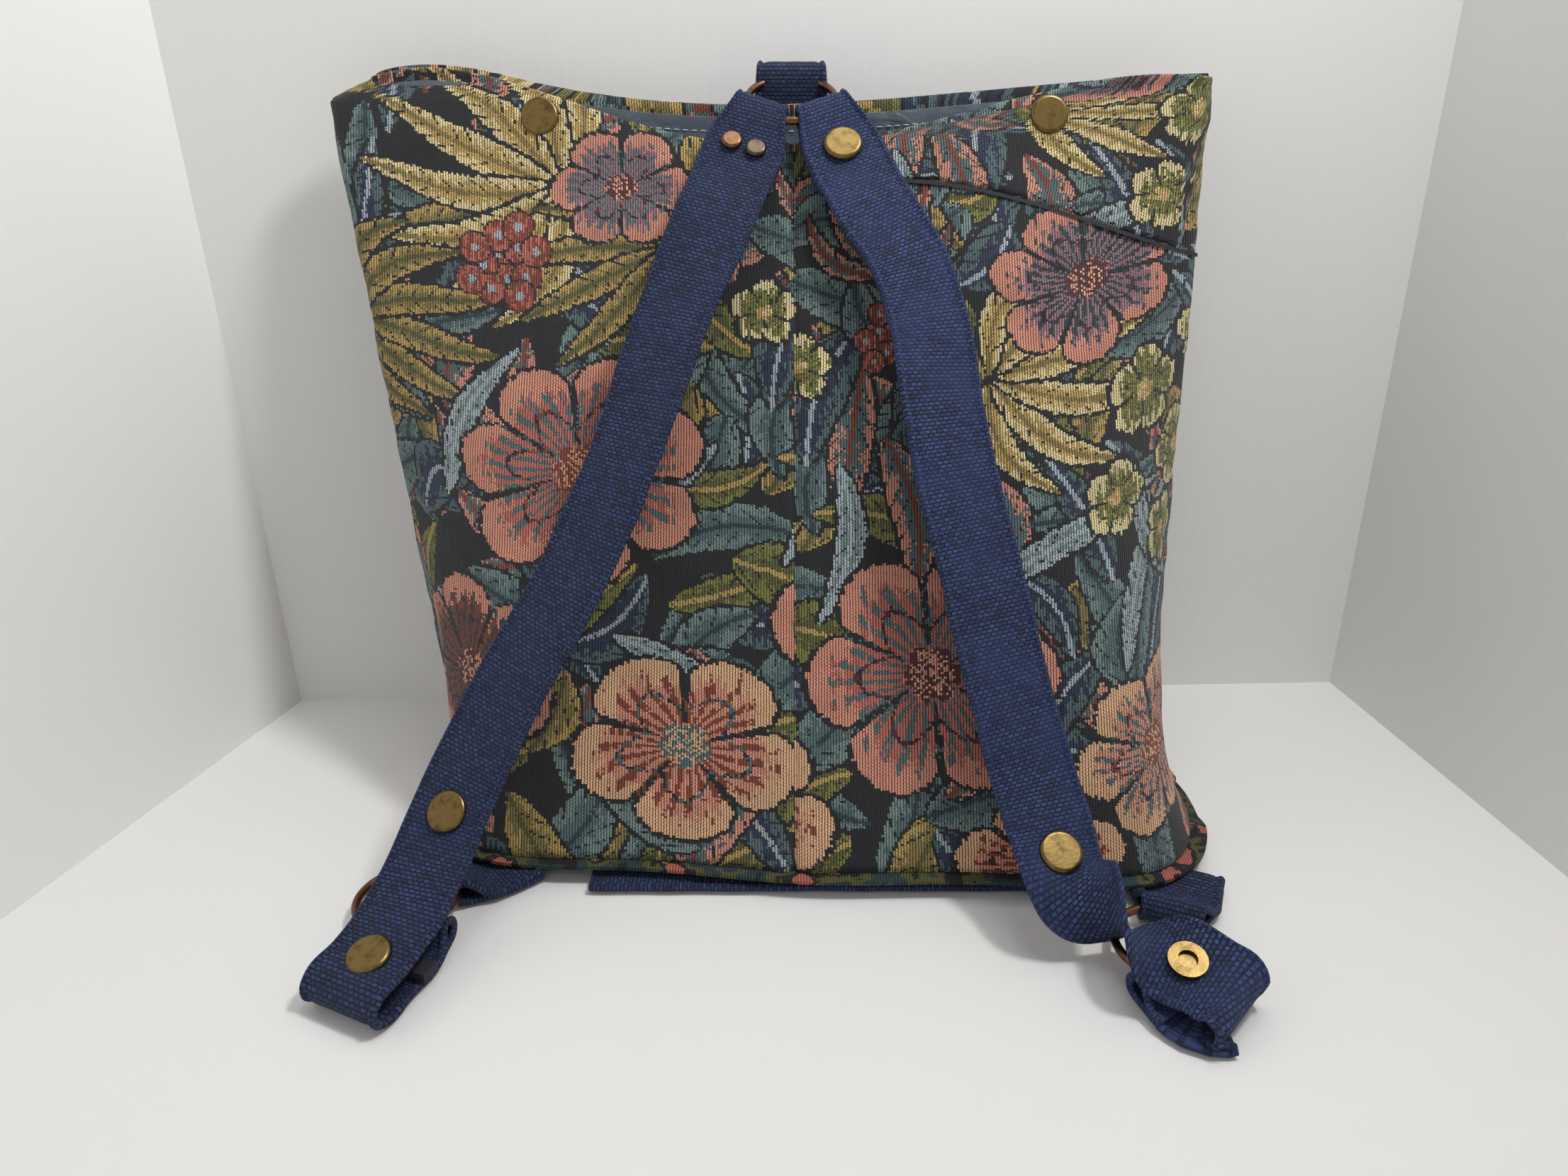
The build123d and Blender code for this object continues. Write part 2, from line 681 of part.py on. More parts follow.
for name, stations, cuts in (
    ("left_strap", left_stations, left_cuts),
    ("right_strap", right_stations, right_cuts),
):
    with BuildPart() as strap:
        add(ribbon(stations))
        for space in ring_space + cuts:
            add(space, mode=Mode.SUBTRACT)
    write(name, strap.part)
    print(name, "length", round(sum((b[0] - a[0]).length for a, b in zip(stations, stations[1:]))))

write_snap("left_upper_snap", left_snaps[0], WEBBING, "stud")
write_snap("left_lower_snap", left_snaps[1], WEBBING, "socket")
write_snap("right_lower_snap", right_snap, WEBBING, "stud")
write_snap("right_end_snap", flipped(right_end_snap, 0), WEBBING, "socket")
write_snap("right_top_snap", right_top_plane, TWO_PLIES, "socket")
for index, plane in enumerate(rivets, start=1):
    head = raised(plane, RIVET_STACK / 2)
    write(f"rivet_head_{index}", cap(head, RIVET_RADIUS, RIVET_RISE, RIVET_POST, RIVET_STACK))
    tail = flipped(plane, RIVET_STACK / 2)
    with BuildPart(tail) as burr:
        Cylinder(RIVET_RADIUS, RIVET_RISE / 2, align=(Align.CENTER, Align.CENTER, Align.MIN))
    write(f"rivet_tail_{index}", burr.part)

# Dark binding over the end of the left strap's tail
with BuildPart() as left_strap_binding:
    end_place, end_across, _ = left_stations[-1]
    wide = WEBBING_WIDTH + 2 * BINDING
    add(ribbon(
        [
            (end_place + left_base_along * shift, end_across, wide)
            for shift in (-BINDING_LENGTH, -BINDING_LENGTH / 2, BINDING)
        ],
        WEBBING + 2 * BINDING,
    ))
    add(ribbon(left_stations[-3:]), mode=Mode.SUBTRACT)
write("left_strap_binding", left_strap_binding.part)

# Tab of webbing round the back of the top ring, both plies down the outside of the rear wall
TAB_LENGTH = 53.0
tab_wire = ring_point(TOP_RING, TOP_RING_TILT, 90)
tab_along = (Vector(tab_wire.X, 103.6, 225) - tab_wire).normalized()
tab_stations = loop(tab_wire, tab_along, Vector(1, 0, 0), 26.0, WEBBING_WIDTH, TAB_LENGTH)
near_place = tab_stations[0][0]
tab_stations.insert(
    0, (near_place + tab_along * (TAB_LENGTH - LOOP_NEAR), Vector(1, 0, 0), WEBBING_WIDTH)
)
with BuildPart() as top_tab:
    add(ribbon(tab_stations))
    add(ring_space[0], mode=Mode.SUBTRACT)
write("top_tab", top_tab.part)

# Webbing under the front edge of the base and the tabs that hold the base rings
for name, middle, angle, cutter in (
    ("base_tab_left", BASE_RING_LEFT, 40, ring_space[1]),
    ("base_tab_right", BASE_RING_RIGHT, 66, ring_space[2]),
):
    wire = ring_point(middle, 0, angle)
    along = level_direction(angle)
    with BuildPart() as tab:
        add(ribbon(floor_loop(wire, along, level_direction(angle + 90), TAB_REACH, TAB_REACH)))
        add(cutter, mode=Mode.SUBTRACT)
    write(name, tab.part)
BASE_STRIP = 184.0
BASE_STRIP_PLACE = (16, -40)
with BuildPart() as base_webbing:
    with BuildSketch(Plane.XY.offset(LOWER_PLY - WEBBING / 2)):
        with Locations(BASE_STRIP_PLACE):
            Rectangle(BASE_STRIP, WEBBING_WIDTH)
    extrude(amount=WEBBING)
write("base_webbing", base_webbing.part)
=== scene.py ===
"""Looks of a tapestry tote backpack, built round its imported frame.

Cloth walls are woven grids laid on the frame's walls, each grid cell being one float of the weave.
Their pattern is a list of flowers, leaves and blades in flat cloth millimetres. Straps and tabs are
bands swept along stations in the frame's millimetres. Everything else is in metres.
"""
from math import cos, pi, radians, sin

import bpy
import numpy as np
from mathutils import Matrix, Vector
from mathutils.bvhtree import BVHTree


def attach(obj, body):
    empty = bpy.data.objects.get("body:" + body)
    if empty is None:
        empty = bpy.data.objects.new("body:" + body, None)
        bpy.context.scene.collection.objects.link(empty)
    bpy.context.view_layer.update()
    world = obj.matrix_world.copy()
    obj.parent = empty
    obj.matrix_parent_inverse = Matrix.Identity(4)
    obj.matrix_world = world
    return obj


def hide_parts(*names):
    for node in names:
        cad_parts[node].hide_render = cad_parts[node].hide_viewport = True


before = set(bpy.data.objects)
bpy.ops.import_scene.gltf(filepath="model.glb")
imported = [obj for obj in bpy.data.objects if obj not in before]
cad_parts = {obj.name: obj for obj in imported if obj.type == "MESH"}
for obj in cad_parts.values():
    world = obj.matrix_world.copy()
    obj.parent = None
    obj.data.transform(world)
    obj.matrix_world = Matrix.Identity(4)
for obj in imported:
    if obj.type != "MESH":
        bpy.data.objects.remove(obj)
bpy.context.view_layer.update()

bl_info = {
    "name": "Tapestry Backpack",
    "version": (1, 0, 0),
    "blender": (4, 5, 0),
    "location": "3D View > Sidebar > Backpack",
    "description": "Builds the cloth, webbing and hardware looks of a tapestry backpack",
    "category": "Add Mesh",
}

BODY = "bag"
MM = 0.001
# Real spacing of the cloth's warp ribs in millimetres
WARP_RIB = 1.08
FRONT_NODES = ("face_panel_left", "face_panel_right")

# Weave colours, as they look under white light
PALETTE = {
    "ground": "#1c1d22",
    "navy": "#28324c",
    "teal": "#54696b",
    "deep_teal": "#2c4043",
    "pale_teal": "#728884",
    "salmon": "#b8685a",
    "coral": "#d08c76",
    "peach": "#dcae86",
    "rust": "#84402f",
    "burgundy": "#57272f",
    "gold": "#b89a58",
    "khaki": "#857544",
    "olive": "#5a5a30",
    "moss": "#7b7c3e",
    "cream": "#dccb98",
    "silver": "#a3adb2",
    "mauve": "#8f6b74",
}


def linear(code):
    """sRGB hex code as linear red, green and blue."""
    values = [int(code[place:place + 2], 16) / 255 for place in (1, 3, 5)]
    return [v / 12.92 if v <= 0.04045 else ((v + 0.055) / 1.055) ** 2.4 for v in values]


def lit(colour, factor=1.0):
    """Linear colour made lighter or darker by a factor, with full alpha."""
    return (*(part * factor for part in colour), 1.0)


COLOURS = {name: np.array(linear(code)) for name, code in PALETTE.items()}


# Settings that a user would change
class BackpackCloth(bpy.types.PropertyGroup):
    rib: bpy.props.FloatProperty(
        name="Rib", description="Spacing of the warp ribs in millimetres",
        default=WARP_RIB, min=0.5, max=4.0
    )
    float_length: bpy.props.FloatProperty(
        name="Float", description="Length of one weft float in millimetres",
        default=0.92, min=0.5, max=4.0
    )
    sag: bpy.props.FloatProperty(
        name="Sag", description="Depth of the cloth's soft undulation in millimetres",
        default=1.5, min=0, max=4
    )
    hem: bpy.props.FloatProperty(
        name="Hem", description="Thickness of the folded hem in millimetres", default=2.4, min=1.5, max=4.0
    )
    lining: bpy.props.FloatVectorProperty(
        name="Lining", description="Colour of the nylon lining", subtype="COLOR", size=3,
        default=linear("#4f5866")
    )


class BackpackWebbing(bpy.types.PropertyGroup):
    width: bpy.props.FloatProperty(
        name="Width", description="Width of the webbing in millimetres", default=32.0, min=20, max=50
    )
    thickness: bpy.props.FloatProperty(
        name="Thickness", description="Thickness of the webbing in millimetres", default=2.2, min=1, max=4
    )
    colour: bpy.props.FloatVectorProperty(
        name="Colour", description="Colour of the webbing's raised threads", subtype="COLOR", size=3,
        default=linear("#1a2545")
    )
    # Painted shade in the gaps between the webbing's threads
    shade: bpy.props.FloatVectorProperty(
        name="Shade", description="Colour between the webbing's threads", subtype="COLOR", size=3,
        default=linear("#070a18")
    )


class BackpackMetal(bpy.types.PropertyGroup):
    brass: bpy.props.FloatVectorProperty(
        name="Brass", description="Colour of the snap caps", subtype="COLOR", size=3,
        default=linear("#7f6a42")
    )
    copper: bpy.props.FloatVectorProperty(
        name="Copper", description="Colour of the rings and rivets", subtype="COLOR", size=3,
        default=linear("#7d5a44")
    )


# Node trees and meshes
MATHS = "ShaderNodeMath"
NOISE = "ShaderNodeTexNoise"
RANGE = "ShaderNodeMapRange"
# A Mix node set to colours, and the numbers of its share, its two colours and its result
MIX = "ShaderNodeMix"
ON_COLOURS = {"data_type": "RGBA"}
SHARE = 0
FIRST = 6
SECOND = 7
MIXED = 2


def set_node(tree, node, settings=None, links=None):
    """Gives a node its settings, and links its inputs to sockets or to other nodes' first outputs."""
    for key, value in (settings or {}).items():
        if isinstance(key, int) or key in node.inputs:
            node.inputs[key].default_value = value
        else:
            setattr(node, key, value)
    for key, source in (links or {}).items():
        socket = source.outputs[0] if isinstance(source, bpy.types.Node) else source
        tree.links.new(socket, node.inputs[key])


def add_node(tree, kind, settings=None, links=None):
    """Adds a node with its settings and links; an input goes by its name or its number."""
    node = tree.nodes.new(kind)
    set_node(tree, node, settings, links)
    return node


def new_material(name):
    """Material with an empty tree, a surface shader and its output."""
    material = bpy.data.materials.new(name)
    material.use_nodes = True
    tree = material.node_tree
    tree.nodes.clear()
    shader = add_node(tree, "ShaderNodeBsdfPrincipled")
    add_node(tree, "ShaderNodeOutputMaterial", links={"Surface": shader})
    return material, tree, shader


def make_object(name, verts, faces, material, uv=None, thread=None, replaced=()):
    """Mesh object in metres that rides on the bag, with flat cloth coordinates and thread colours."""
    mesh = bpy.data.meshes.new(name)
    mesh.from_pydata([tuple(v) for v in verts], [], [tuple(f) for f in faces])
    mesh.polygons.foreach_set("use_smooth", np.ones(len(mesh.polygons), bool))
    loops = np.empty(len(mesh.loops), int)
    mesh.loops.foreach_get("vertex_index", loops)
    if uv is not None:
        layer = mesh.uv_layers.new(name="cloth")
        layer.data.foreach_set("uv", np.asarray(uv)[loops].ravel())
    if thread is not None:
        totals = np.empty(len(mesh.polygons), int)
        mesh.polygons.foreach_get("loop_total", totals)
        corner = np.repeat(np.c_[thread, np.ones(len(thread))], totals, axis=0)
        layer = mesh.color_attributes.new("thread", "FLOAT_COLOR", "CORNER")
        layer.data.foreach_set("color", corner.ravel())
    mesh.materials.append(material)
    thing = bpy.data.objects.new(name, mesh)
    bpy.context.scene.collection.objects.link(thing)
    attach(thing, BODY)
    if replaced:
        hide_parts(*replaced)


# Pattern: colour of each weave float from its place in flat cloth millimetres
STREAK = 4.2
SHADE_TABLE = 512
WANDER = 1.6
FLAME = 15
LEAF_OUTLINE = 1.5
BLOOM_OUTLINE = 2.0
BERRY_OUTLINE = 0.8
VEIN_PITCH = 7.5


class Pattern:
    """Paints motifs over a ground; every float takes one of a motif's two thread colours."""

    def __init__(self, x, y, seed):
        self.x = x
        self.y = y
        rng = np.random.default_rng(seed)
        column = np.floor(x / WARP_RIB).astype(int)
        streak = np.floor(y / STREAK + column * 0.37).astype(int) % SHADE_TABLE
        table = rng.random((SHADE_TABLE, SHADE_TABLE))
        self.dither = 0.65 * table[column % SHADE_TABLE, streak] + 0.35 * rng.random(x.shape)
        self.wander = WANDER * (table[(column * 7) % SHADE_TABLE, streak] - 0.5)
        tongue = FLAME * (table[(column * 13) % SHADE_TABLE, 7] - 0.5)
        self.flame = tongue * np.abs(np.sin(column * 0.9 + y * 0.05))
        self.colour = np.tile(COLOURS["ground"], (len(x), 1))

    def paint(self, inside, first, second, share):
        """Colours the floats inside, share being the part that takes the second thread."""
        chosen = np.where((self.dither < share)[:, None], COLOURS[second], COLOURS[first])
        self.colour[inside] = chosen[inside]

    def leaf(self, place, angle, length, width, bend, shades, outline="ground"):
        """Pointed leaf from a place, with a light rib, dark veins and an outline."""
        edge, body, rib = shades
        turn = radians(angle)
        along = (self.x - place[0]) * cos(turn) + (self.y - place[1]) * sin(turn)
        side = -(self.x - place[0]) * sin(turn) + (self.y - place[1]) * cos(turn)
        share = np.clip(along / length, 0, 1)
        side = side - bend * np.sin(share * pi)
        half = width / 2 * np.sin(share ** 0.8 * pi) ** 0.75
        wide = np.abs(side) + self.wander * 0.5
        on = (along > 0) & (along < length)
        self.paint(on & (wide < half + LEAF_OUTLINE), outline, outline, 0)
        inside = on & (wide < half)
        depth = np.clip(wide / np.maximum(half, 0.1), 0, 1)
        self.paint(inside, body, edge, depth * 1.15 - 0.15)
        veins = np.abs(np.sin((along - np.abs(side) * 1.3) * pi / VEIN_PITCH)) < 0.2
        self.paint(inside & veins & (depth > 0.2), outline, body, 0.45)
        self.paint(inside & (np.abs(side) < 1.0), rib, body, 0.15)

    def bloom(self, place, radius, petals, angle, shades, flatten=1.0):
        """Open flower of rounded petals that are streaked from the middle to a light rim."""
        rim, body, streak, heart = shades
        across = self.x - place[0]
        up = (self.y - place[1]) / flatten
        reach = np.hypot(across, up) + self.wander
        turn = np.arctan2(up, across) - radians(angle)
        lobe = np.abs(np.cos(turn * petals / 2))
        edge = radius * (0.68 + 0.32 * lobe ** 0.55)
        depth = reach / edge
        self.paint(reach < edge + BLOOM_OUTLINE, "ground", "ground", 0)
        inside = reach < edge
        self.paint(inside, body, rim, (depth + self.flame / radius * 0.6 - 0.66) * 5)
        rays = np.sin(turn * petals * 5 + np.sin(depth * 6 + turn * 3) * 1.6)
        tongue = depth + self.flame / radius
        streaked = inside & (rays > 0.1) & (depth > 0.18) & (tongue < 0.8)
        self.paint(streaked, streak, body, depth * 0.45)
        self.paint(inside & (lobe < 0.16) & (depth > 0.3), "ground", streak, 0.25)
        fold = np.abs(depth - 0.52 - 0.08 * np.cos(turn * petals)) < 0.022
        self.paint(inside & fold, "ground", heart, 0.5)
        self.paint(depth < 0.24, heart, rim, 0.3)
        grains = np.sin(across * 2.1) * np.sin(up * 2.1) > 0.3
        self.paint((depth < 0.2) & grains, "peach", heart, 0.2)

    def plume(self, place, start, sweep, count, length, shades):
        """Fan of curved blades that spread from one place."""
        for index in range(count):
            share = index / (count - 1)
            grow = 0.75 + 0.25 * sin(share * pi)
            bend = (share - 0.5) * length * 0.3
            self.leaf(place, start + sweep * share, length * grow, length * 0.17, bend, shades)

    def berries(self, place, radius, count):
        """Cluster of small round buds with a pale dot each."""
        for index in range(count):
            turn = index * 2.4
            reach = radius * (index / count) ** 0.5
            middle = (place[0] + reach * cos(turn), place[1] + reach * sin(turn))
            away = np.hypot(self.x - middle[0], self.y - middle[1])
            self.paint(away < radius * 0.36 + BERRY_OUTLINE, "ground", "burgundy", 0.5)
            self.paint(away < radius * 0.36, "salmon", "rust", 0.55)
            self.paint(away < radius * 0.1, "silver", "pale_teal", 0.3)


GOLD = ("cream", "gold", "khaki")
KHAKI = ("gold", "khaki", "olive")
OLIVE = ("moss", "olive", "gold")
TEAL = ("pale_teal", "teal", "deep_teal")
SILVER = ("silver", "pale_teal", "silver")
WARM = ("coral", "teal", "rust")
SLATE = ("teal", "navy", "silver")
FOLIAGE = (TEAL, OLIVE, WARM, SLATE, KHAKI, TEAL, SLATE)

# Leaves scattered under the other motifs
LEAF_SEED = 11
LEAF_COUNT = 520
LEAF_X = (-265, 265)
LEAF_Y = (-30, 350)


def paint_cloth(x, y, seed=3):
    """Thread colours of floats at x and y, in flat cloth millimetres from the foot of the seam."""
    art = Pattern(x, y, seed)
    rng = np.random.default_rng(LEAF_SEED)
    for _ in range(LEAF_COUNT):
        place = (rng.uniform(*LEAF_X), rng.uniform(*LEAF_Y))
        shades = FOLIAGE[rng.integers(len(FOLIAGE))]
        angle = rng.uniform(0, 360)
        length = rng.uniform(30, 66)
        width = rng.uniform(12, 25)
        bend = rng.uniform(-9, 9)
        art.leaf(place, angle, length, width, bend, shades)
    art.plume((-96, 262), 95, 150, 8, 84, GOLD)
    art.plume((-186, 196), -42, 100, 6, 70, KHAKI)
    art.plume((-52, 236), 140, 130, 7, 66, KHAKI)
    art.plume((62, 214), -60, 115, 6, 72, GOLD)
    art.plume((20, 250), 40, 100, 5, 50, WARM)
    for place, angle, length in (
        ((-30, 160), 208, 88), ((4, 176), 262, 62), ((58, 128), 22, 84), ((112, 96), 60, 74),
        ((-70, 84), -38, 76), ((86, 60), 150, 70), ((-140, 132), 66, 72), ((150, 118), 118, 60),
    ):
        art.leaf(place, angle, length, 11, 8, SILVER)
    art.bloom((-84, 148), 50, 7, 20, ("coral", "salmon", "teal", "rust"), 0.9)
    art.bloom((38, 96), 47, 6, 5, ("coral", "salmon", "teal", "burgundy"))
    art.bloom((-128, 66), 36, 6, 40, ("coral", "rust", "deep_teal", "burgundy"))
    art.bloom((126, 66), 36, 6, 10, ("peach", "coral", "teal", "rust"), 0.85)
    art.bloom((-42, 44), 44, 5, -18, ("peach", "coral", "rust", "teal"), 0.8)
    art.bloom((78, 26), 32, 5, 30, ("peach", "coral", "rust", "burgundy"), 0.8)
    art.bloom((-70, 262), 30, 6, 0, ("coral", "mauve", "teal", "burgundy"), 0.8)
    art.bloom((104, 250), 40, 7, 15, ("coral", "mauve", "deep_teal", "burgundy"), 0.85)
    art.bloom((-146, 8), 26, 5, 0, ("coral", "salmon", "teal", "rust"))
    art.bloom((164, 16), 26, 5, 50, ("coral", "rust", "teal", "burgundy"))
    for place, radius, angle in (
        ((128, 196), 17, 10), ((152, 168), 16, 40), ((112, 160), 14, 0), ((160, 214), 15, 25),
        ((142, 138), 13, 60), ((-12, 214), 13, 15),
    ):
        art.bloom(place, radius, 5, angle, ("cream", "moss", "olive", "gold"))
    art.berries((-118, 232), 17, 13)
    art.berries((22, 226), 12, 9)
    return art.colour


# Surfaces read from the frame, in metres
READ_STEP = 0.0016
READ_WIDTH = 0.19
READ_DEPTHS = (-0.08, 0.12)
SIDES_FROM = 0.09
SQUARE_ON = 0.5
EDGE_HALVINGS = 11
EDGE_MARGIN = 0.002
# The seam is a narrow gap in the frame, and the pattern steps where it crosses it, in millimetres
SEAM_READ = 0.0009
SEAM_STEP = (-14, 22)
SNAP_X = 0.101
SNAP_REACH = 0.009
SNAPS = ((-SNAP_X, 0.2625), (SNAP_X, 0.2615))


class Surface:
    """One side of some frame nodes, read along Y; its side ends curve to the rear, or to the front at -1."""

    def __init__(self, names, facing, ends=1):
        verts = []
        faces = []
        for name in names:
            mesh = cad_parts[name].data
            base = len(verts)
            verts += [v.co.copy() for v in mesh.vertices]
            faces += [[base + i for i in p.vertices] for p in mesh.polygons]
        self.tree = BVHTree.FromPolygons(verts, faces)
        self.facing = facing
        self.ends = ends
        self.low = min(v.z for v in verts)
        self.high = max(v.z for v in verts)
        self.span = (min(v.x for v in verts), max(v.x for v in verts))

    def holds(self, x, z):
        """Whether the surface is there at X and Z; the seam is read beside its gap."""
        if abs(x) < SEAM_READ:
            x = SEAM_READ
        hit = self.tree.ray_cast(Vector((x, -self.facing, z)), Vector((0, self.facing, 0)))
        return hit[0] is not None

    def end(self, x, inside, outside):
        """Height at X where the surface ends, between one inside it and one outside."""
        for _ in range(EDGE_HALVINGS):
            middle = (inside + outside) / 2
            if self.holds(x, middle):
                inside = middle
            else:
                outside = middle
        return inside


def section(surface, z, left=None):
    """Points of the outer surface on one level, from its left end, or from left, to its right end."""
    points = []
    ahead = Vector((0, surface.facing, 0))
    for x in np.arange(-READ_WIDTH if left is None else left, READ_WIDTH, READ_STEP):
        start = Vector((x if abs(x) > SEAM_READ else SEAM_READ, -surface.facing, z))
        hit = surface.tree.ray_cast(start, ahead)
        if hit[0] and abs(hit[1].y) > SQUARE_ON:
            points.append((x, hit[0].y))
    outer = surface.facing == surface.ends
    for side in (-1, 1) if left is None else (1,):
        inwards = Vector((-side if outer else side, 0, 0))
        for y in np.arange(*READ_DEPTHS, READ_STEP):
            hit = surface.tree.ray_cast(Vector((side if outer else 0, y, z)), inwards)
            if hit[0] and abs(hit[1].x) > SQUARE_ON and side * hit[0].x > SIDES_FROM:
                points.append((hit[0].x, y))
    halves = []
    for side in (-1, 1):
        half = [p for p in points if (p[0] > 0) == (side > 0)]
        half.sort(key=lambda p: side * (abs(p[0]) + surface.ends * p[1]))
        halves += half
    line = np.array(halves)
    soft = line.copy()
    soft[1:-1] = (line[:-2] + line[1:-1] * 2 + line[2:]) / 4
    return soft


def edge_tables(surface, levels, columns, left=None):
    """X and Y of evenly spaced columns on each level, even along the cloth."""
    across = []
    depths = []
    for z in levels:
        line = section(surface, z, left)
        run = np.r_[0, np.cumsum(np.hypot(np.diff(line[:, 0]), np.diff(line[:, 1])))]
        at = np.linspace(0, run[-1], columns)
        across.append(np.interp(at, run, line[:, 0]))
        depths.append(np.interp(at, run, line[:, 1]))
    return np.array(across), np.array(depths)


def read_columns(table, levels, z):
    """Values of a table of levels and columns, at each row's own height in every column."""
    return np.array([np.interp(z[:, j], levels, table[:, j]) for j in range(z.shape[1])]).T


def height_range(surface, xs, guesses, foot=None):
    """Lowest and highest Z of the surface at each X, found from heights that may be inside it.

    Columns off the surface or behind a snap follow their neighbours, and with foot run down to it.
    """
    low = np.full(len(xs), np.nan)
    high = np.full(len(xs), np.nan)
    for index, x in enumerate(xs):
        inside = next((z for z in guesses if surface.holds(x, z)), None)
        if inside is not None and abs(abs(x) - SNAP_X) > SNAP_REACH:
            high[index] = surface.end(x, inside, surface.high + EDGE_MARGIN)
            low[index] = surface.end(x, inside, surface.low - EDGE_MARGIN)
    place = np.arange(len(xs))
    known = ~np.isnan(high)
    high = np.interp(place, place[known], high[known])
    if foot is not None:
        low[0] = low[-1] = foot
        known = ~np.isnan(low)
    return np.interp(place, place[known], low[known]), high


# Sizes of the cloth's dents and of the seam, in metres where they are lengths along it
STILL_FOOT = 0.03
STILL_RIM = 0.035
SNAP_FLAT = 0.008
SNAP_FADE = 0.02
SEAM_HALF = 0.0014
SEAM_DEPTH_MM = 1.3
BANK_PLACE = 0.006
BANK_HALF = 0.004
BANK_HEIGHT_MM = 0.8
PUCKER_HALF = 0.012


def undulation(x, z, seam, low, high, depth):
    """Soft dents and the seam's groove, in metres, still at the edges and round the snaps."""
    soft = (
        np.sin(x * 41 + z * 23) * np.sin(z * 37 - x * 12)
        + 0.6 * np.sin(x * 83 - z * 64 + 1.2)
        + 0.35 * np.sin(x * 150 + z * 190)
        + 0.25 * np.sin(z * 330 + np.sin(x * 60) * 2)
    ) / 2
    still = np.clip((z - low) / STILL_FOOT, 0, 1) * np.clip((high - z) / STILL_RIM, 0, 1)
    for place, height in SNAPS:
        away = np.hypot(x - place, z - height)
        still = still * np.clip((away - SNAP_FLAT) / SNAP_FADE, 0, 1)
    groove = 0.0
    if seam:
        banks = np.exp(-((np.abs(x) - BANK_PLACE) / BANK_HALF) ** 2)
        groove = -SEAM_DEPTH_MM * np.exp(-(x / SEAM_HALF) ** 2) + BANK_HEIGHT_MM * banks
        soft = soft + 0.25 * np.sin(z * 410) * np.exp(-(x / PUCKER_HALF) ** 2)
    return MM * (depth * (0.5 + 0.5 * soft) * still + groove)


# Cloth grids: levels in metres, the rim's fold in degrees and millimetres along the cloth
LEVELS = 40
WALL_FOOT = 0.0092
LAP_FOOT = 0.2165
RIM_DROP = 0.0045
RIM_GUESSES = (0.25, 0.262, 0.24)
FOOT_GUESS = 0.03
FOOT_LIFT = 0.0004
ROW_SPARE = 1.1
MAP_FOOT_MM = 7
FOLD_ANGLES = (40, 80, 120, 160)
FOLD_PITCH = 0.9
TURN_IN_PITCH = 1.8
# Row of the grid, counted from its top, whose normals are clear of the rim
CLEAR_ROW = -6


def column_ends(surface, levels, table, left):
    """X of each column's foot, and its lowest and highest Z."""
    columns = range(table.shape[1])
    high = np.full(len(columns), RIM_GUESSES[0])
    for _ in range(3):
        xs = np.array([np.interp(high[j], levels, table[:, j]) for j in columns])
        _, high = height_range(surface, xs, RIM_GUESSES)
        high = np.minimum(high, surface.high)
    if left is None:
        low, _ = height_range(surface, table[0], (FOOT_GUESS,), surface.low + FOOT_LIFT)
        return table[0], low, high
    low, _ = height_range(surface, xs, RIM_GUESSES[:2])
    return xs, low, high


def fold_rim(points, out, up, thick, turn_in):
    """Rows of the rim's fold to the inside, each with its way past the rim in millimetres."""
    rows = []
    for index, angle in enumerate(FOLD_ANGLES, start=1):
        turn = radians(angle)
        rim = points[-1] - out * thick * (1 - cos(turn)) / 2 + up * thick / 2 * sin(turn)
        rows.append((rim, index * FOLD_PITCH))
    for index in range(1, turn_in + 1):
        inner = points[-1 - 2 * index] - out * thick
        rows.append((inner, len(FOLD_ANGLES) * FOLD_PITCH + TURN_IN_PITCH * index))
    return rows


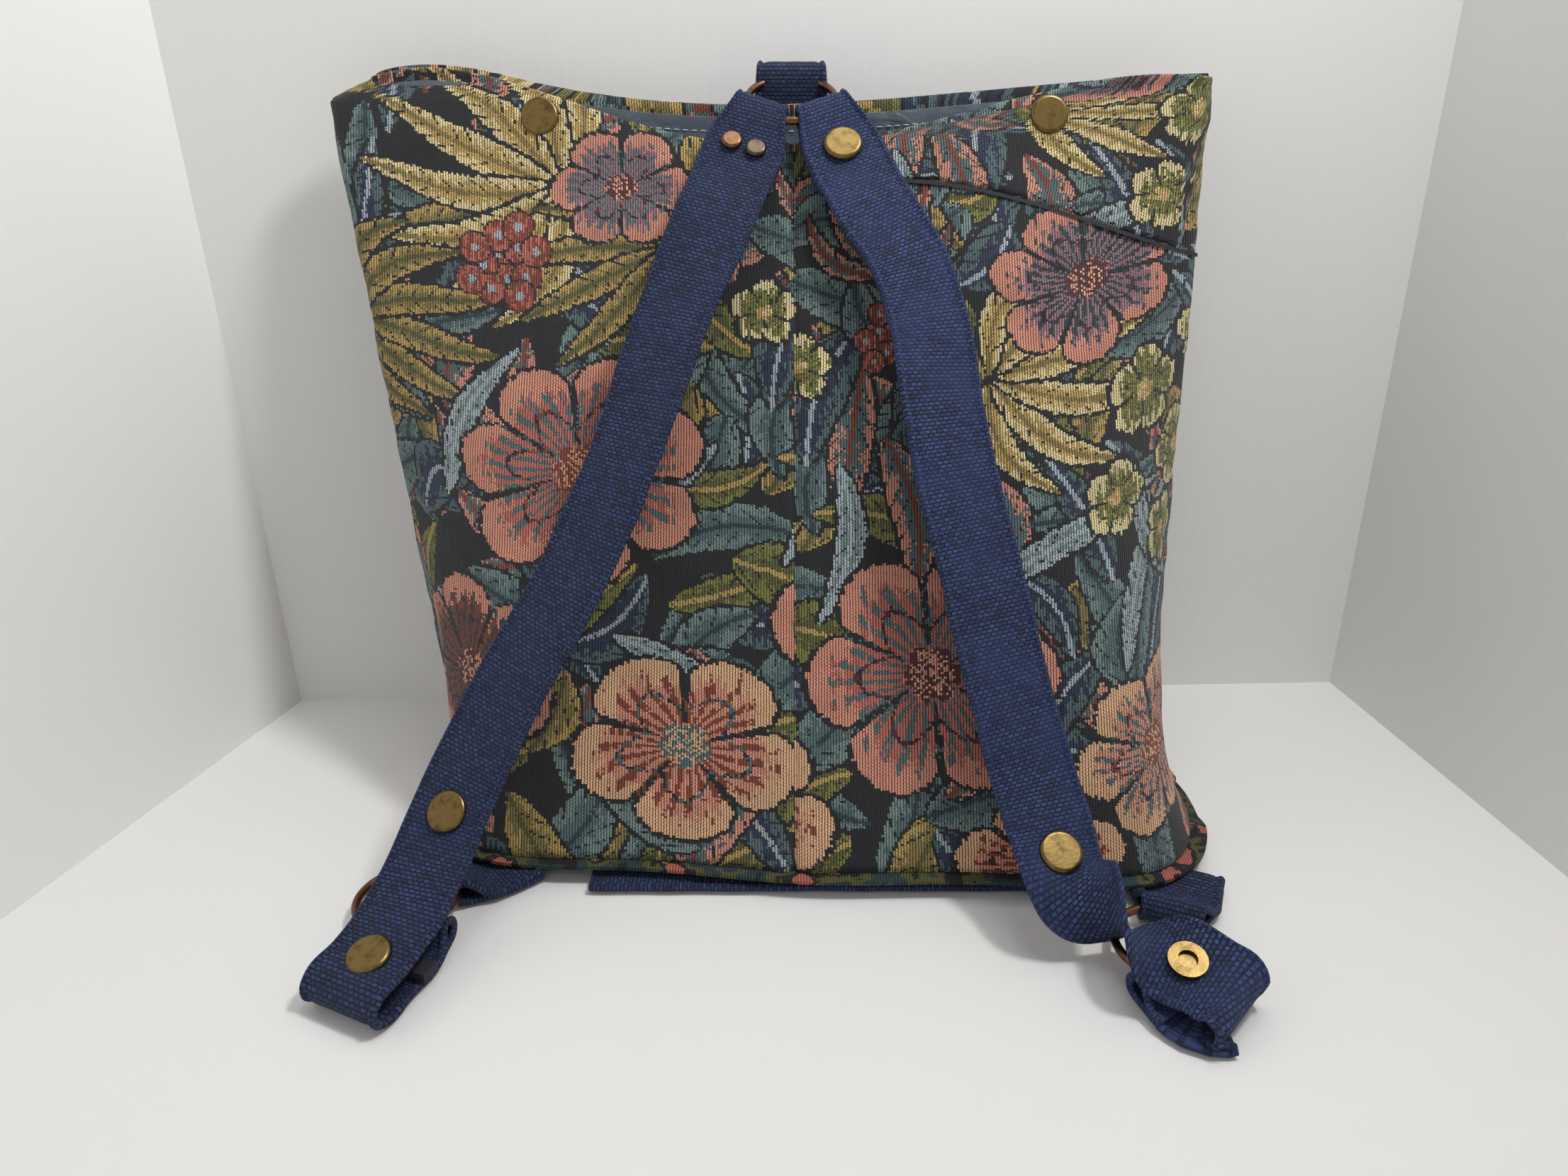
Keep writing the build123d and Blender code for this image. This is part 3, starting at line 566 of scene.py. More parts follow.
def lay_cloth(name, surface, cloth, cell, material, replaced, offset=(0, 0), seam=False,
              left=None, hem=2.4, pattern=True, turn_in=3, outline=None):
    """Grid of cloth on a surface, from left where that is given, with its top edge folded inwards."""
    levels = np.linspace(WALL_FOOT if left is None else LAP_FOOT, surface.high - RIM_DROP, LEVELS)
    width = surface.span[1] - (surface.span[0] if left is None else left)
    columns = int(width / (cell[0] * MM)) + 1
    table, depths = edge_tables(outline or surface, levels, columns, left)
    xs, low, high = column_ends(surface, levels, table, left)
    rows = int((high.max() - low.min()) * ROW_SPARE / (cell[1] * MM)) + 1
    z = low[None, :] + (high - low)[None, :] * np.linspace(0, 1, rows)[:, None]
    x = read_columns(table, levels, z)
    points = np.stack([x, read_columns(depths, levels, z), z], axis=2)
    normal = np.cross(np.gradient(points, axis=1), np.gradient(points, axis=0))
    normal /= np.linalg.norm(normal, axis=2)[:, :, None] + 1e-12
    normal *= surface.facing
    points = points + normal * undulation(x, z, seam, low, high, cloth.sag)[:, :, None]

    # Flat map of the cloth in millimetres, from the seam or from the lap's left end
    across = np.linalg.norm(np.diff(points, axis=1), axis=2)
    flat_x = np.pad(np.cumsum(across, axis=1), ((0, 0), (1, 0))) / MM
    if left is None:
        middle = np.array([np.interp(0.0, x[i], flat_x[i]) for i in range(rows)])
    else:
        middle = np.full(rows, -left / MM)
    flat_x = flat_x - middle[:, None]
    rise = np.linalg.norm(np.diff(points, axis=0), axis=2)
    flat_y = np.pad(np.cumsum(rise, axis=0), ((1, 0), (0, 0))) / MM
    flat_y = flat_y + (low[None, :] / MM - MAP_FOOT_MM)

    out = normal[CLEAR_ROW]
    up = points[-1] - points[-3]
    up /= np.linalg.norm(up, axis=1)[:, None]
    rim = fold_rim(points, out, up, hem * MM, turn_in)
    grid = np.concatenate([points, np.array([row for row, _ in rim])])
    flat_x = np.concatenate([flat_x, np.repeat(flat_x[-1:], len(rim), axis=0)])
    flat_y = np.concatenate([flat_y] + [flat_y[-1:] + way for _, way in rim])
    places = grid.reshape(-1, 3)
    uv = np.stack([flat_x.ravel(), flat_y.ravel()], axis=1)
    total = len(grid)
    index = np.arange(total * columns).reshape(total, columns)
    corners = [index[:-1, :-1], index[:-1, 1:], index[1:, 1:], index[1:, :-1]]
    faces = np.stack(corners[::surface.facing], axis=2).reshape(-1, 4)

    thread = None
    if pattern:
        mid_x = (flat_x[:-1, :-1] + flat_x[1:, 1:]).ravel() / 2 + offset[0]
        mid_y = (flat_y[:-1, :-1] + flat_y[1:, 1:]).ravel() / 2 + offset[1]
        if seam:
            right = mid_x > 0
            mid_x = mid_x + np.where(right, SEAM_STEP[0], 0)
            mid_y = mid_y + np.where(right, SEAM_STEP[1], 0)
        thread = paint_cloth(mid_x, mid_y)
    if not seam:
        make_object(name, places, faces, material, uv, thread, replaced)
        return grid, out, up
    # A wall with a seam is one piece on each side of it, for each of the two nodes that it replaces
    middle_column = int(np.argmin(np.abs(xs)))
    column = np.tile(np.arange(columns - 1), total - 1)
    for side_name, chosen, node in (
        ("left", column < middle_column, replaced[0]),
        ("right", column >= middle_column, replaced[1]),
    ):
        used, renumbered = np.unique(faces[chosen], return_inverse=True)
        make_object(f"{name}_{side_name}", places[used], renumbered.reshape(-1, 4),
                    material, uv[used], thread[chosen], (node,))
    return grid, out, up


# Materials: a scale on the cloth map counts features in a millimetre, and one on object
# coordinates counts them in a metre
def tapestry_material():
    """Jacquard woven cotton: thread colours, vertical ribs and floats that catch the light, with painted
    shade between the ribs and painted light on the tops of ribs and floats.
    """
    material, tree, shader = new_material("tapestry_cloth")
    thread = add_node(tree, "ShaderNodeVertexColor", {"layer_name": "thread"})
    flat = add_node(tree, "ShaderNodeUVMap", {"uv_map": "cloth"})
    parts = add_node(tree, "ShaderNodeSeparateXYZ", links={"Vector": flat})
    across = parts.outputs[0]
    along = parts.outputs[1]
    # Ribs, whose lines wander with the fuzz of the thread
    fuzz = add_node(tree, NOISE, {"Scale": 1.7, "Detail": 3.0}, {"Vector": flat})
    wobble = add_node(tree, MATHS, {"operation": "MULTIPLY", 1: 0.5}, {0: fuzz})
    wandering = add_node(tree, MATHS, {"operation": "ADD"}, {0: across, 1: wobble})
    rib_turn = add_node(tree, MATHS, {"operation": "MULTIPLY", 1: pi / WARP_RIB}, {0: wandering})
    rib_wave = add_node(tree, MATHS, {"operation": "SINE"}, {0: rib_turn})
    rib = add_node(tree, MATHS, {"operation": "ABSOLUTE"}, {0: rib_wave})
    # Floats, which step on by half of one from each rib to the next
    ribs = add_node(tree, MATHS, {"operation": "MULTIPLY", 1: 1 / WARP_RIB}, {0: across})
    rib_number = add_node(tree, MATHS, {"operation": "FLOOR"}, {0: ribs})
    step = add_node(tree, MATHS, {"operation": "MULTIPLY", 1: 0.5}, {0: rib_number})
    floats = add_node(tree, MATHS, {"operation": "MULTIPLY", 1: 0.8}, {0: along})
    stepped = add_node(tree, MATHS, {"operation": "ADD"}, {0: floats, 1: step})
    float_turn = add_node(tree, MATHS, {"operation": "MULTIPLY", 1: pi}, {0: stepped})
    float_wave = add_node(tree, MATHS, {"operation": "SINE"}, {0: float_turn})
    cross = add_node(tree, MATHS, {"operation": "ABSOLUTE"}, {0: float_wave})
    # Height of the threads
    cord = add_node(tree, MATHS, {"operation": "POWER", 1: 0.6}, {0: rib})
    rib_height = add_node(tree, MATHS, {"operation": "MULTIPLY", 1: 0.75}, {0: cord})
    float_height = add_node(tree, MATHS, {"operation": "MULTIPLY", 1: 0.25}, {0: cross})
    height = add_node(tree, MATHS, {"operation": "ADD"}, {0: rib_height, 1: float_height})
    # Painted shade between the ribs and painted light on the tops of ribs and floats, so that each rib reads
    # as a cord of thread
    shade = add_node(tree, RANGE, {"From Min": 0.42, "From Max": 0.9, "To Min": 0.1, "To Max": 1.25},
                     {"Value": height})
    cloud = add_node(tree, NOISE, {"Scale": 0.06, "Detail": 2.0}, {"Vector": flat})
    tone = add_node(tree, RANGE, {"From Min": 0.3, "From Max": 0.7, "To Min": 0.86, "To Max": 1.1},
                    {"Value": cloud})
    level = add_node(tree, MATHS, {"operation": "MULTIPLY"}, {0: shade, 1: tone})
    grey = add_node(tree, "ShaderNodeCombineColor", links={"Red": level, "Green": level, "Blue": level})
    colour = add_node(tree, MIX, {**ON_COLOURS, "blend_type": "MULTIPLY", SHARE: 1.0},
                      {FIRST: thread, SECOND: grey})
    bump = add_node(tree, "ShaderNodeBump", {"Strength": 0.9, "Distance": 0.0005}, {"Height": height})
    set_node(tree, shader, {"Roughness": 0.82, "Sheen Weight": 0.12, "Sheen Roughness": 0.5},
             {"Base Color": colour.outputs[MIXED], "Normal": bump})
    return material


def base_cloth_material():
    """The same tapestry seen from below: ribs along the depth with painted shade between them, and dark
    foliage colours.
    """
    material, tree, shader = new_material("tapestry_base")
    place = add_node(tree, "ShaderNodeTexCoord").outputs["Object"]
    parts = add_node(tree, "ShaderNodeSeparateXYZ", links={"Vector": place})
    rib_turn = add_node(tree, MATHS, {"operation": "MULTIPLY", 1: pi / (WARP_RIB * MM)}, {0: parts})
    rib_wave = add_node(tree, MATHS, {"operation": "SINE"}, {0: rib_turn})
    rib = add_node(tree, MATHS, {"operation": "ABSOLUTE"}, {0: rib_wave})
    cloud = add_node(tree, NOISE, {"Scale": 55.0, "Detail": 6.0}, {"Vector": place})
    ramp = add_node(tree, "ShaderNodeValToRGB", links={"Fac": cloud})
    ramp.color_ramp.interpolation = "CONSTANT"
    for stop, name in ((0.42, "deep_teal"), (0.5, "olive"), (0.56, "ground"), (0.62, "salmon")):
        element = ramp.color_ramp.elements.new(stop)
        element.color = lit(COLOURS[name])
    ramp.color_ramp.elements[0].color = lit(COLOURS["ground"])
    # Painted shade between the ribs
    shade = add_node(tree, RANGE, {"To Min": 0.35}, {"Value": rib})
    grey = add_node(tree, "ShaderNodeCombineColor", links={"Red": shade, "Green": shade, "Blue": shade})
    colour = add_node(tree, MIX, {**ON_COLOURS, "blend_type": "MULTIPLY", SHARE: 1.0},
                      {FIRST: ramp, SECOND: grey})
    bump = add_node(tree, "ShaderNodeBump", {"Strength": 0.8, "Distance": 0.0005}, {"Height": rib})
    set_node(tree, shader, {"Roughness": 0.85}, {"Base Color": colour.outputs[MIXED], "Normal": bump})
    return material


def lining_material(colour):
    """Plain woven nylon taffeta: a soft sheen and fine creases, with painted shade in their hollows and
    painted light on their crests.
    """
    material, tree, shader = new_material("nylon_lining")
    flat = add_node(tree, "ShaderNodeUVMap", {"uv_map": "cloth"})
    crease = add_node(tree, NOISE, {"Scale": 0.07, "Detail": 3.0, "Distortion": 0.6}, {"Vector": flat})
    weave = add_node(tree, NOISE, {"Scale": 3.0, "Detail": 1.0}, {"Vector": flat})
    # Painted shade and painted light: darker and lighter copies of the lining colour that follow the
    # creases' height
    shade = add_node(tree, MIX, {**ON_COLOURS, FIRST: lit(colour, 0.55), SECOND: lit(colour, 1.25)},
                     {SHARE: crease})
    grain = add_node(tree, MATHS, {"operation": "MULTIPLY", 1: 0.05}, {0: weave})
    height = add_node(tree, MATHS, {"operation": "ADD"}, {0: crease, 1: grain})
    bump = add_node(tree, "ShaderNodeBump", {"Strength": 0.5, "Distance": 0.004}, {"Height": height})
    set_node(tree, shader, {"Roughness": 0.45, "Sheen Weight": 0.3},
             {"Base Color": shade.outputs[MIXED], "Normal": bump})
    return material


SHEEN_TINT = (0.45, 0.6, 1.0, 1.0)


def webbing_material(name, colour, shade, fuzz):
    """Heavy basket woven cotton webbing: raised light dashes in staggered rows with painted shade between
    them, worn fuzzy.
    """
    material, tree, shader = new_material(name)
    flat = add_node(tree, "ShaderNodeUVMap", {"uv_map": "cloth"})
    soft = add_node(tree, NOISE, {"Scale": 0.9, "Detail": 2.0}, {"Vector": flat})
    bend = add_node(tree, "ShaderNodeVectorMath", {"operation": "MULTIPLY_ADD", 1: (0.2, 0.2, 0.0)},
                    {0: soft.outputs["Color"], 2: flat})
    # The real dashes are about 1.5 mm apart; they are drawn half as coarse again, so that they show
    # The mortar between the dashes is painted shade
    brick = add_node(
        tree, "ShaderNodeTexBrick",
        {"Scale": 1.0, "Mortar Size": 0.34, "Mortar Smooth": 0.6, "Brick Width": 2.3, "Row Height": 1.45,
         "Color1": lit(colour, 1.1), "Color2": lit(colour, 3.6), "Mortar": lit(shade)},
        {"Vector": bend},
    )
    cloud = add_node(tree, NOISE, {"Scale": 0.045, "Detail": 3.0}, {"Vector": flat})
    worn = add_node(tree, RANGE, {"From Min": 0.4, "From Max": 0.7, "To Max": fuzz}, {"Value": cloud})
    hair = add_node(tree, NOISE, {"Scale": 5.0, "Detail": 5.0, "Roughness": 0.8}, {"Vector": flat})
    nap = add_node(tree, MIX, {**ON_COLOURS, FIRST: lit(colour, 0.3), SECOND: lit(colour, 3.2)},
                   {SHARE: hair})
    surface = add_node(tree, MIX, ON_COLOURS,
                       {SHARE: worn, FIRST: brick.outputs["Color"], SECOND: nap.outputs[MIXED]})
    dashes = add_node(tree, MATHS, {"operation": "SUBTRACT", 0: 1.0}, {1: brick.outputs["Fac"]})
    fluff = add_node(tree, MATHS, {"operation": "MULTIPLY", 1: 0.35}, {0: hair})
    height = add_node(tree, MATHS, {"operation": "ADD"}, {0: dashes, 1: fluff})
    bump = add_node(tree, "ShaderNodeBump", {"Strength": 1.0, "Distance": 0.0009}, {"Height": height})
    set_node(tree, shader,
             {"Roughness": 0.85, "Sheen Weight": 0.03 + fuzz * 0.06, "Sheen Roughness": 0.6,
              "Sheen Tint": SHEEN_TINT},
             {"Base Color": surface.outputs[MIXED], "Normal": bump})
    return material


def plain_cloth_material(name, code):
    """Folded cotton binding or sewing thread: matte, with a fine grain."""
    material, tree, shader = new_material(name)
    base = linear(code)
    place = add_node(tree, "ShaderNodeTexCoord").outputs["Object"]
    grain = add_node(tree, NOISE, {"Scale": 2500.0, "Detail": 2.0}, {"Vector": place})
    colour = add_node(tree, MIX, {**ON_COLOURS, FIRST: lit(base, 0.5), SECOND: lit(base, 1.6)},
                      {SHARE: grain})
    bump = add_node(tree, "ShaderNodeBump", {"Strength": 0.5, "Distance": 0.0003}, {"Height": grain})
    set_node(tree, shader, {"Roughness": 0.8}, {"Base Color": colour.outputs[MIXED], "Normal": bump})
    return material


def metal_material(name, colour, roughness):
    """Antique plated metal: a worn warm face over dark tarnish, with faint scratches."""
    material, tree, shader = new_material(name)
    place = add_node(tree, "ShaderNodeTexCoord").outputs["Object"]
    tarnish = add_node(tree, NOISE, {"Scale": 260.0, "Detail": 5.0, "Roughness": 0.65},
                       {"Vector": place})
    spot = add_node(tree, RANGE, {"From Min": 0.5, "From Max": 0.72, "To Max": 0.75},
                    {"Value": tarnish})
    surface = add_node(tree, MIX, {**ON_COLOURS, FIRST: lit(colour), SECOND: lit(colour, 0.28)},
                       {SHARE: spot})
    scratch = add_node(tree, NOISE, {"Scale": 900.0, "Detail": 2.0}, {"Vector": place})
    rough = add_node(tree, RANGE, {"To Min": roughness - 0.1, "To Max": roughness + 0.2},
                     {"Value": tarnish})
    bump = add_node(tree, "ShaderNodeBump", {"Strength": 0.12, "Distance": 0.0003}, {"Height": scratch})
    set_node(tree, shader, {"Metallic": 1.0},
             {"Base Color": surface.outputs[MIXED], "Roughness": rough, "Normal": bump})
    return material


def board_material():
    """Coated corrugated board: white and matte with faint flutes, and clear seen from behind."""
    material, tree, shader = new_material("white_board")
    place = add_node(tree, "ShaderNodeTexCoord").outputs["Object"]
    flute = add_node(tree, "ShaderNodeTexWave", {"Scale": 60.0, "Distortion": 1.5}, {"Vector": place})
    bump = add_node(tree, "ShaderNodeBump", {"Strength": 0.04, "Distance": 0.001},
                    {"Height": flute.outputs[1]})
    set_node(tree, shader, {"Base Color": lit(linear("#e9e8e6")), "Roughness": 0.7}, {"Normal": bump})
    behind = add_node(tree, "ShaderNodeNewGeometry").outputs["Backfacing"]
    clear = add_node(tree, "ShaderNodeBsdfTransparent")
    both = add_node(tree, "ShaderNodeMixShader", links={0: behind, 1: shader, 2: clear})
    output = next(n for n in tree.nodes if n.bl_idname == "ShaderNodeOutputMaterial")
    set_node(tree, output, links={"Surface": both})
    return material


# Webbing: stations of place, width direction and width, in the frame's millimetres
RING_RADIUS = 17.5
TOP_RING = (Vector((-1, 94.5, 269.5)), 27.0)
BASE_RING_LEFT = (Vector((-139, -66, 5.6)), 0.0)
BASE_RING_RIGHT = (Vector((126, -88.6, 5.6)), 0.0)
GATHERED = 21.0
LOWER_PLY = 1.25
UPPER_PLY = 3.75
PLY_STEP = 1.25
LOOP_RADIUS = 4.3
LOOP_SET_IN = 0.9
LOOP_END = 13
LOOP_TAIL = 34


def heading(angle):
    """Level direction at an angle from +X in plan."""
    return Vector((cos(radians(angle)), sin(radians(angle)), 0))


def dipped(angle, dip):
    """Width direction from an angle from +X in plan and a dip of its right edge."""
    return Vector((cos(radians(angle)), sin(radians(angle)), -dip)).normalized()


def wire_point(ring, angle):
    """Point of a ring's wire at an angle in the ring's own plane."""
    middle, tilt = ring
    flat = heading(angle) * RING_RADIUS
    return middle + Vector((flat.x, flat.y * cos(radians(tilt)), flat.y * sin(radians(tilt))))


def loop_stations(wire, along, across, near, far, tail):
    """Band that comes in, turns round a wire and goes back by tail."""
    face = along.cross(across)
    middle = wire - along * LOOP_SET_IN
    stations = [(wire + along * LOOP_END + face * PLY_STEP, across, far)]
    for angle in range(75, 300, 30):
        turn = radians(angle)
        place = middle + along * (LOOP_RADIUS * cos(turn)) + face * (LOOP_RADIUS * sin(turn))
        stations.append((place, across, near))
    stations.append((wire + along * LOOP_END - face * PLY_STEP, across, far))
    stations.append((wire + along * tail - face * PLY_STEP, across, far))
    return stations


def floor_stations(wire, along, across, reach, tail, width, lift=0.0):
    """Band on the floor that comes in below, turns round a wire and lies on top."""
    half_way = GATHERED + (width - GATHERED) * 0.4
    stations = []
    for place, height, wide in (
        (reach, LOWER_PLY, width), (10, LOWER_PLY, width), (4, LOWER_PLY, half_way),
        (0, LOWER_PLY + 0.1, GATHERED), (-3.2, 2.5, GATHERED), (-4.6, wire.z, GATHERED),
        (-3.2, 8.7, GATHERED), (0, 9.7, GATHERED), (3.4, 7.3, half_way), (7, UPPER_PLY, width),
        (tail, UPPER_PLY + lift, width),
    ):
        middle = wire + along * place
        stations.append((Vector((middle.x, middle.y, height)), across, wide))
    return stations


def fold_stations(middle, out, radius, start, end, width):
    """Fold that turns from above to below, bulging along out."""
    stations = []
    for index, angle in enumerate((60, 20, -20, -60, -90)):
        turn = radians(angle)
        place = middle + out * (radius * cos(turn)) + Vector((0, 0, radius * sin(turn)))
        stations.append((place, start.lerp(end, index / 4), width))
    return stations


# Each strap between its rings: place, angle of the width from +X in plan, and dip of its right edge
LEFT_RUN = (
    ((-30, 51, 229), -17, 0.24), ((-45, 29, 196), -25, 0.1), ((-59, 6, 158), -29, 0),
    ((-70, -8, 132), -30, 0), ((-84, -23, 105), -29, 0), ((-101, -38, 78), -27, 0),
    ((-115, -52, 52), -23, 0), ((-121.5, -61, 39), -21, 0), ((-127, -74, 26.5), -19, 0),
    ((-132, -89, 18), -19, 0), ((-138, -104, 13), -22, 0),
)
RIGHT_RUN = (
    ((31, 53, 231), 18, -0.3), ((42, 42, 215), 24, -0.3), ((49, 29, 196), 22, -0.2),
    ((54, 9, 166), 18, -0.1), ((59, -5, 141), 16, -0.1), ((66, -19, 116), 16, -0.1),
    ((73, -33, 88), 16, -0.1), ((80, -46, 63), 16, -0.1), ((85, -55, 46.5), 15, -0.1),
    ((88.5, -65.5, 36), 14, -0.1), ((93, -80.5, 25.2), 14, -0.1),
)
# The right strap's half turn: place, and turn about its run so far
RIGHT_TWIST = (
    ((96.8, -85.8, 22.6), 32), ((101, -90, 20.8), 62), ((105, -93.3, 19.4), 92),
    ((109.3, -96.9, 18), 122), ((113.5, -100.3, 16.6), 152), ((118, -103.8, 15.5), 186),
    ((131, -113.9, 13.7), 186),
)


def left_strap_stations(width):
    """Left strap from its top fold to the bound end of its tail."""
    wire = wire_point(TOP_RING, 223)
    along = (Vector((-28, 55, 233)) - wire).normalized()
    stations = loop_stations(wire, along, dipped(-14, 0.3), GATHERED, width, LOOP_TAIL)[::-1]
    stations += [(Vector(place), dipped(angle, dip), width) for place, angle, dip in LEFT_RUN]
    fold = Vector((-142, -113.5, 6.4))
    stations += fold_stations(fold, heading(-116), 5.1, heading(-25), heading(-23), width)
    base = wire_point(BASE_RING_LEFT, 305)
    return stations + floor_stations(base, heading(-113), heading(-23), 27, 19, width, 0.7)


def right_strap_stations(width):
    """Right strap from its top fold through its half turn to the tail."""
    wire = wire_point(TOP_RING, 317)
    along = (Vector((28, 57, 235)) - wire).normalized()
    stations = loop_stations(wire, along, dipped(14, -0.3), GATHERED, width, LOOP_TAIL)[::-1]
    stations += [(Vector(place), dipped(angle, dip), width) for place, angle, dip in RIGHT_RUN]
    start = dipped(14, -0.1)
    for index, (place, angle) in enumerate(RIGHT_TWIST):
        before = Vector(RIGHT_TWIST[max(index - 1, 0)][0])
        after = Vector(RIGHT_TWIST[min(index + 1, len(RIGHT_TWIST) - 1)][0])
        run = (after - before).normalized()
        side = (start - run * start.dot(run)).normalized()
        turned = side * cos(radians(angle)) + run.cross(side) * sin(radians(angle))
        stations.append((Vector(place), turned, width))
    fold = Vector((134.5, -117, 7.2))
    stations += fold_stations(fold, heading(-53), 5.9, stations[-1][1], heading(217), width)
    base = wire_point(BASE_RING_RIGHT, 244)
    return stations + floor_stations(base, heading(-53), heading(217), 16, 12, width)


def top_tab_stations(width):
    """Tab from its inner end up round the top ring and down again."""
    wire = wire_point(TOP_RING, 90)
    along = (Vector((wire.x, 103.6, 225)) - wire).normalized()
    across = Vector((1, 0, 0))
    stations = loop_stations(wire, along, across, 28, width, 53)
    return [(stations[0][0] + along * 40, across, width)] + stations


def catmull(run, values, at):
    """Smooth curve through values at run, read at new places."""
    slope = np.gradient(values, run, axis=0)
    place = np.clip(np.searchsorted(run, at, side="right") - 1, 0, len(run) - 2)
    length = (run[place + 1] - run[place])[:, None]
    t = (at[:, None] - run[place][:, None]) / length
    return (
        values[place] * (2 * t ** 3 - 3 * t ** 2 + 1)
        + slope[place] * length * (t ** 3 - 2 * t ** 2 + t)
        + values[place + 1] * (3 * t ** 2 - 2 * t ** 3)
        + slope[place + 1] * length * (t ** 3 - t ** 2)
    )


# Section of a band and its waves, in millimetres
HALF_BAND = 16
ROLL_PLACE = 1.5
ROLL_HALF = 1.0
CHANNEL_PLACE = 3.3
CHANNEL_HALF = 0.7
EDGE_ROUND = 1.1
BAND_STEP = 1.3
WIDTH_SMOOTHING = 5
CALM_START = 45
CALM_END = 60
CALM_FADE = 30


def band_profile(thickness):
    """Shares of the half width and heights round a band, with rolled edges beside a stitched channel."""
    upper = []
    shares = (np.linspace(-1, -0.75, 7), np.linspace(-0.65, 0.65, 10), np.linspace(0.75, 1, 7))
    for share in np.concatenate(shares):
        from_edge = (1 - abs(share)) * HALF_BAND
        roll = 0.4 * np.exp(-((from_edge - ROLL_PLACE) / ROLL_HALF) ** 2)
        channel = 0.5 * np.exp(-((from_edge - CHANNEL_PLACE) / CHANNEL_HALF) ** 2)
        round_off = min(1.0, (from_edge / EDGE_ROUND) ** 0.5)
        upper.append((share, thickness / 2 * (1 + (roll - channel)) * max(round_off, 0.02)))
    lower = [(share, -height) for share, height in upper[-2:0:-1]]
    return np.array(upper + lower).T


def band(name, stations, thickness, material, replaced, ripple=0.25):
    """Webbing swept along its stations, waved between its ends and pleated where it is gathered."""
    places = np.array([list(s[0]) for s in stations])
    across = np.array([list(s[1]) for s in stations])
    widths = np.array([s[2] for s in stations])
    run = np.r_[0, np.cumsum(np.linalg.norm(np.diff(places, axis=0), axis=1))]
    count = int(run[-1] / BAND_STEP)
    at = np.linspace(0, run[-1], count)
    smooth = catmull(run, places, at)
    side = catmull(run, across, at)
    window = 2 * WIDTH_SMOOTHING + 1
    padded = np.pad(np.interp(at, run, widths), WIDTH_SMOOTHING, "edge")
    wide = np.convolve(padded, np.ones(window) / window, "valid")
    along = np.gradient(smooth, axis=0)
    along /= np.linalg.norm(along, axis=1)[:, None]
    side -= along * np.sum(side * along, axis=1)[:, None]
    side /= np.linalg.norm(side, axis=1)[:, None]
    face = np.cross(side, along)
    spread, rise = band_profile(thickness)
    way = at[:, None]
    calm = np.clip(np.minimum(at - CALM_START, run[-1] - CALM_END - at) / CALM_FADE, 0, 1)[:, None]
    wave = ripple * calm * (np.sin(way / 9.0 + spread * 1.4) + 0.6 * np.sin(way / 4.1 - spread * 2))
    pleat = 0.45 * ((widths.max() - wide) / widths.max())[:, None] * np.sin(spread[None, :] * 11)
    edge = 1 + 0.006 * np.sin(way / 3.7) + 0.008 * np.sin(way / 8.3 + 1) * calm
    verts = (
        smooth[:, None, :]
        + side[:, None, :] * (spread[None, :] * wide[:, None] / 2 * edge)[:, :, None]
        + face[:, None, :] * (rise[None, :] + wave + pleat)[:, :, None]
    )
    around = len(spread)
    index = np.arange(count * around).reshape(count, around)
    turned = np.roll(index, -1, axis=1)
    faces = np.stack([index[:-1], turned[:-1], turned[1:], index[1:]], axis=2).reshape(-1, 4).tolist()
    faces += [list(index[0][::-1]), list(index[-1])]
    map_x = np.broadcast_to(spread[None, :] * HALF_BAND, (count, around))
    map_y = np.broadcast_to(way, (count, around))
    uv = np.stack([map_x, map_y], axis=2).reshape(-1, 2)
    make_object(name, verts.reshape(-1, 3) * MM, faces, material, uv, None, replaced)


# Stitches: sides of each, and its thickness at shares of its length
STITCH_SIDES = 6
STITCH_SECTIONS = ((0, 0.35), (0.25, 1), (0.75, 1), (1, 0.35))


def stitches(name, points, normals, pitch, length, radius, material):
    """Row of short raised stitches along points in metres."""
    run = np.r_[0, np.cumsum(np.linalg.norm(np.diff(points, axis=0), axis=1))]
    verts = []
    faces = []
    for start in np.arange(pitch, run[-1] - pitch, pitch):
        first = np.array([np.interp(start, run, points[:, k]) for k in range(3)])
        last = np.array([np.interp(start + length, run, points[:, k]) for k in range(3)])
        out = np.array([np.interp(start, run, normals[:, k]) for k in range(3)])
        out /= np.linalg.norm(out)
        along = last - first
        along /= np.linalg.norm(along)
        side = np.cross(along, out)
        base = len(verts)
        for share, size in STITCH_SECTIONS:
            centre = first + (last - first) * share
            for turn in range(STITCH_SIDES):
                angle = turn * 2 * pi / STITCH_SIDES
                verts.append(centre + (side * cos(angle) + out * sin(angle)) * radius * size)
        for ring in range(len(STITCH_SECTIONS) - 1):
            for turn in range(STITCH_SIDES):
                a = base + ring * STITCH_SIDES + turn
                b = base + ring * STITCH_SIDES + (turn + 1) % STITCH_SIDES
                faces.append((a, b, b + STITCH_SIDES, a + STITCH_SIDES))
    make_object(name, verts, faces, material)


def paint_nodes(names, material):
    """Gives frame nodes that stay in sight a material."""
    for name in names:
        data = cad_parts[name].data
        data.materials.clear()
        data.materials.append(material)


# Stage, in metres: the camera, and the feet and tops of the folded white board behind the bag
CAMERA_PLACE = (-0.004, -0.380, 0.262)
CAMERA_DOWN = 23.3
CAMERA_LENS = 24.97
CAMERA_SENSOR = 36.0
BOARDS = (
    (-0.425, -0.6, 0), (-0.242, 0.091, 0), (0.274, 0.110, 0), (0.358, -0.6, 0),
    (-0.478, -0.6, 0.75), (-0.2948, 0.1692, 0.75), (0.3007, 0.1914, 0.75), (0.384, -0.6, 0.75),
)
FLOOR = ((-1.5, -1.5, 0), (1.5, -1.5, 0), (1.5, 0.6, 0), (-1.5, 0.6, 0))
# The floor and boards lie this far below the frame's own floor, clear of the webbing
BOARD_DROP = 0.0012
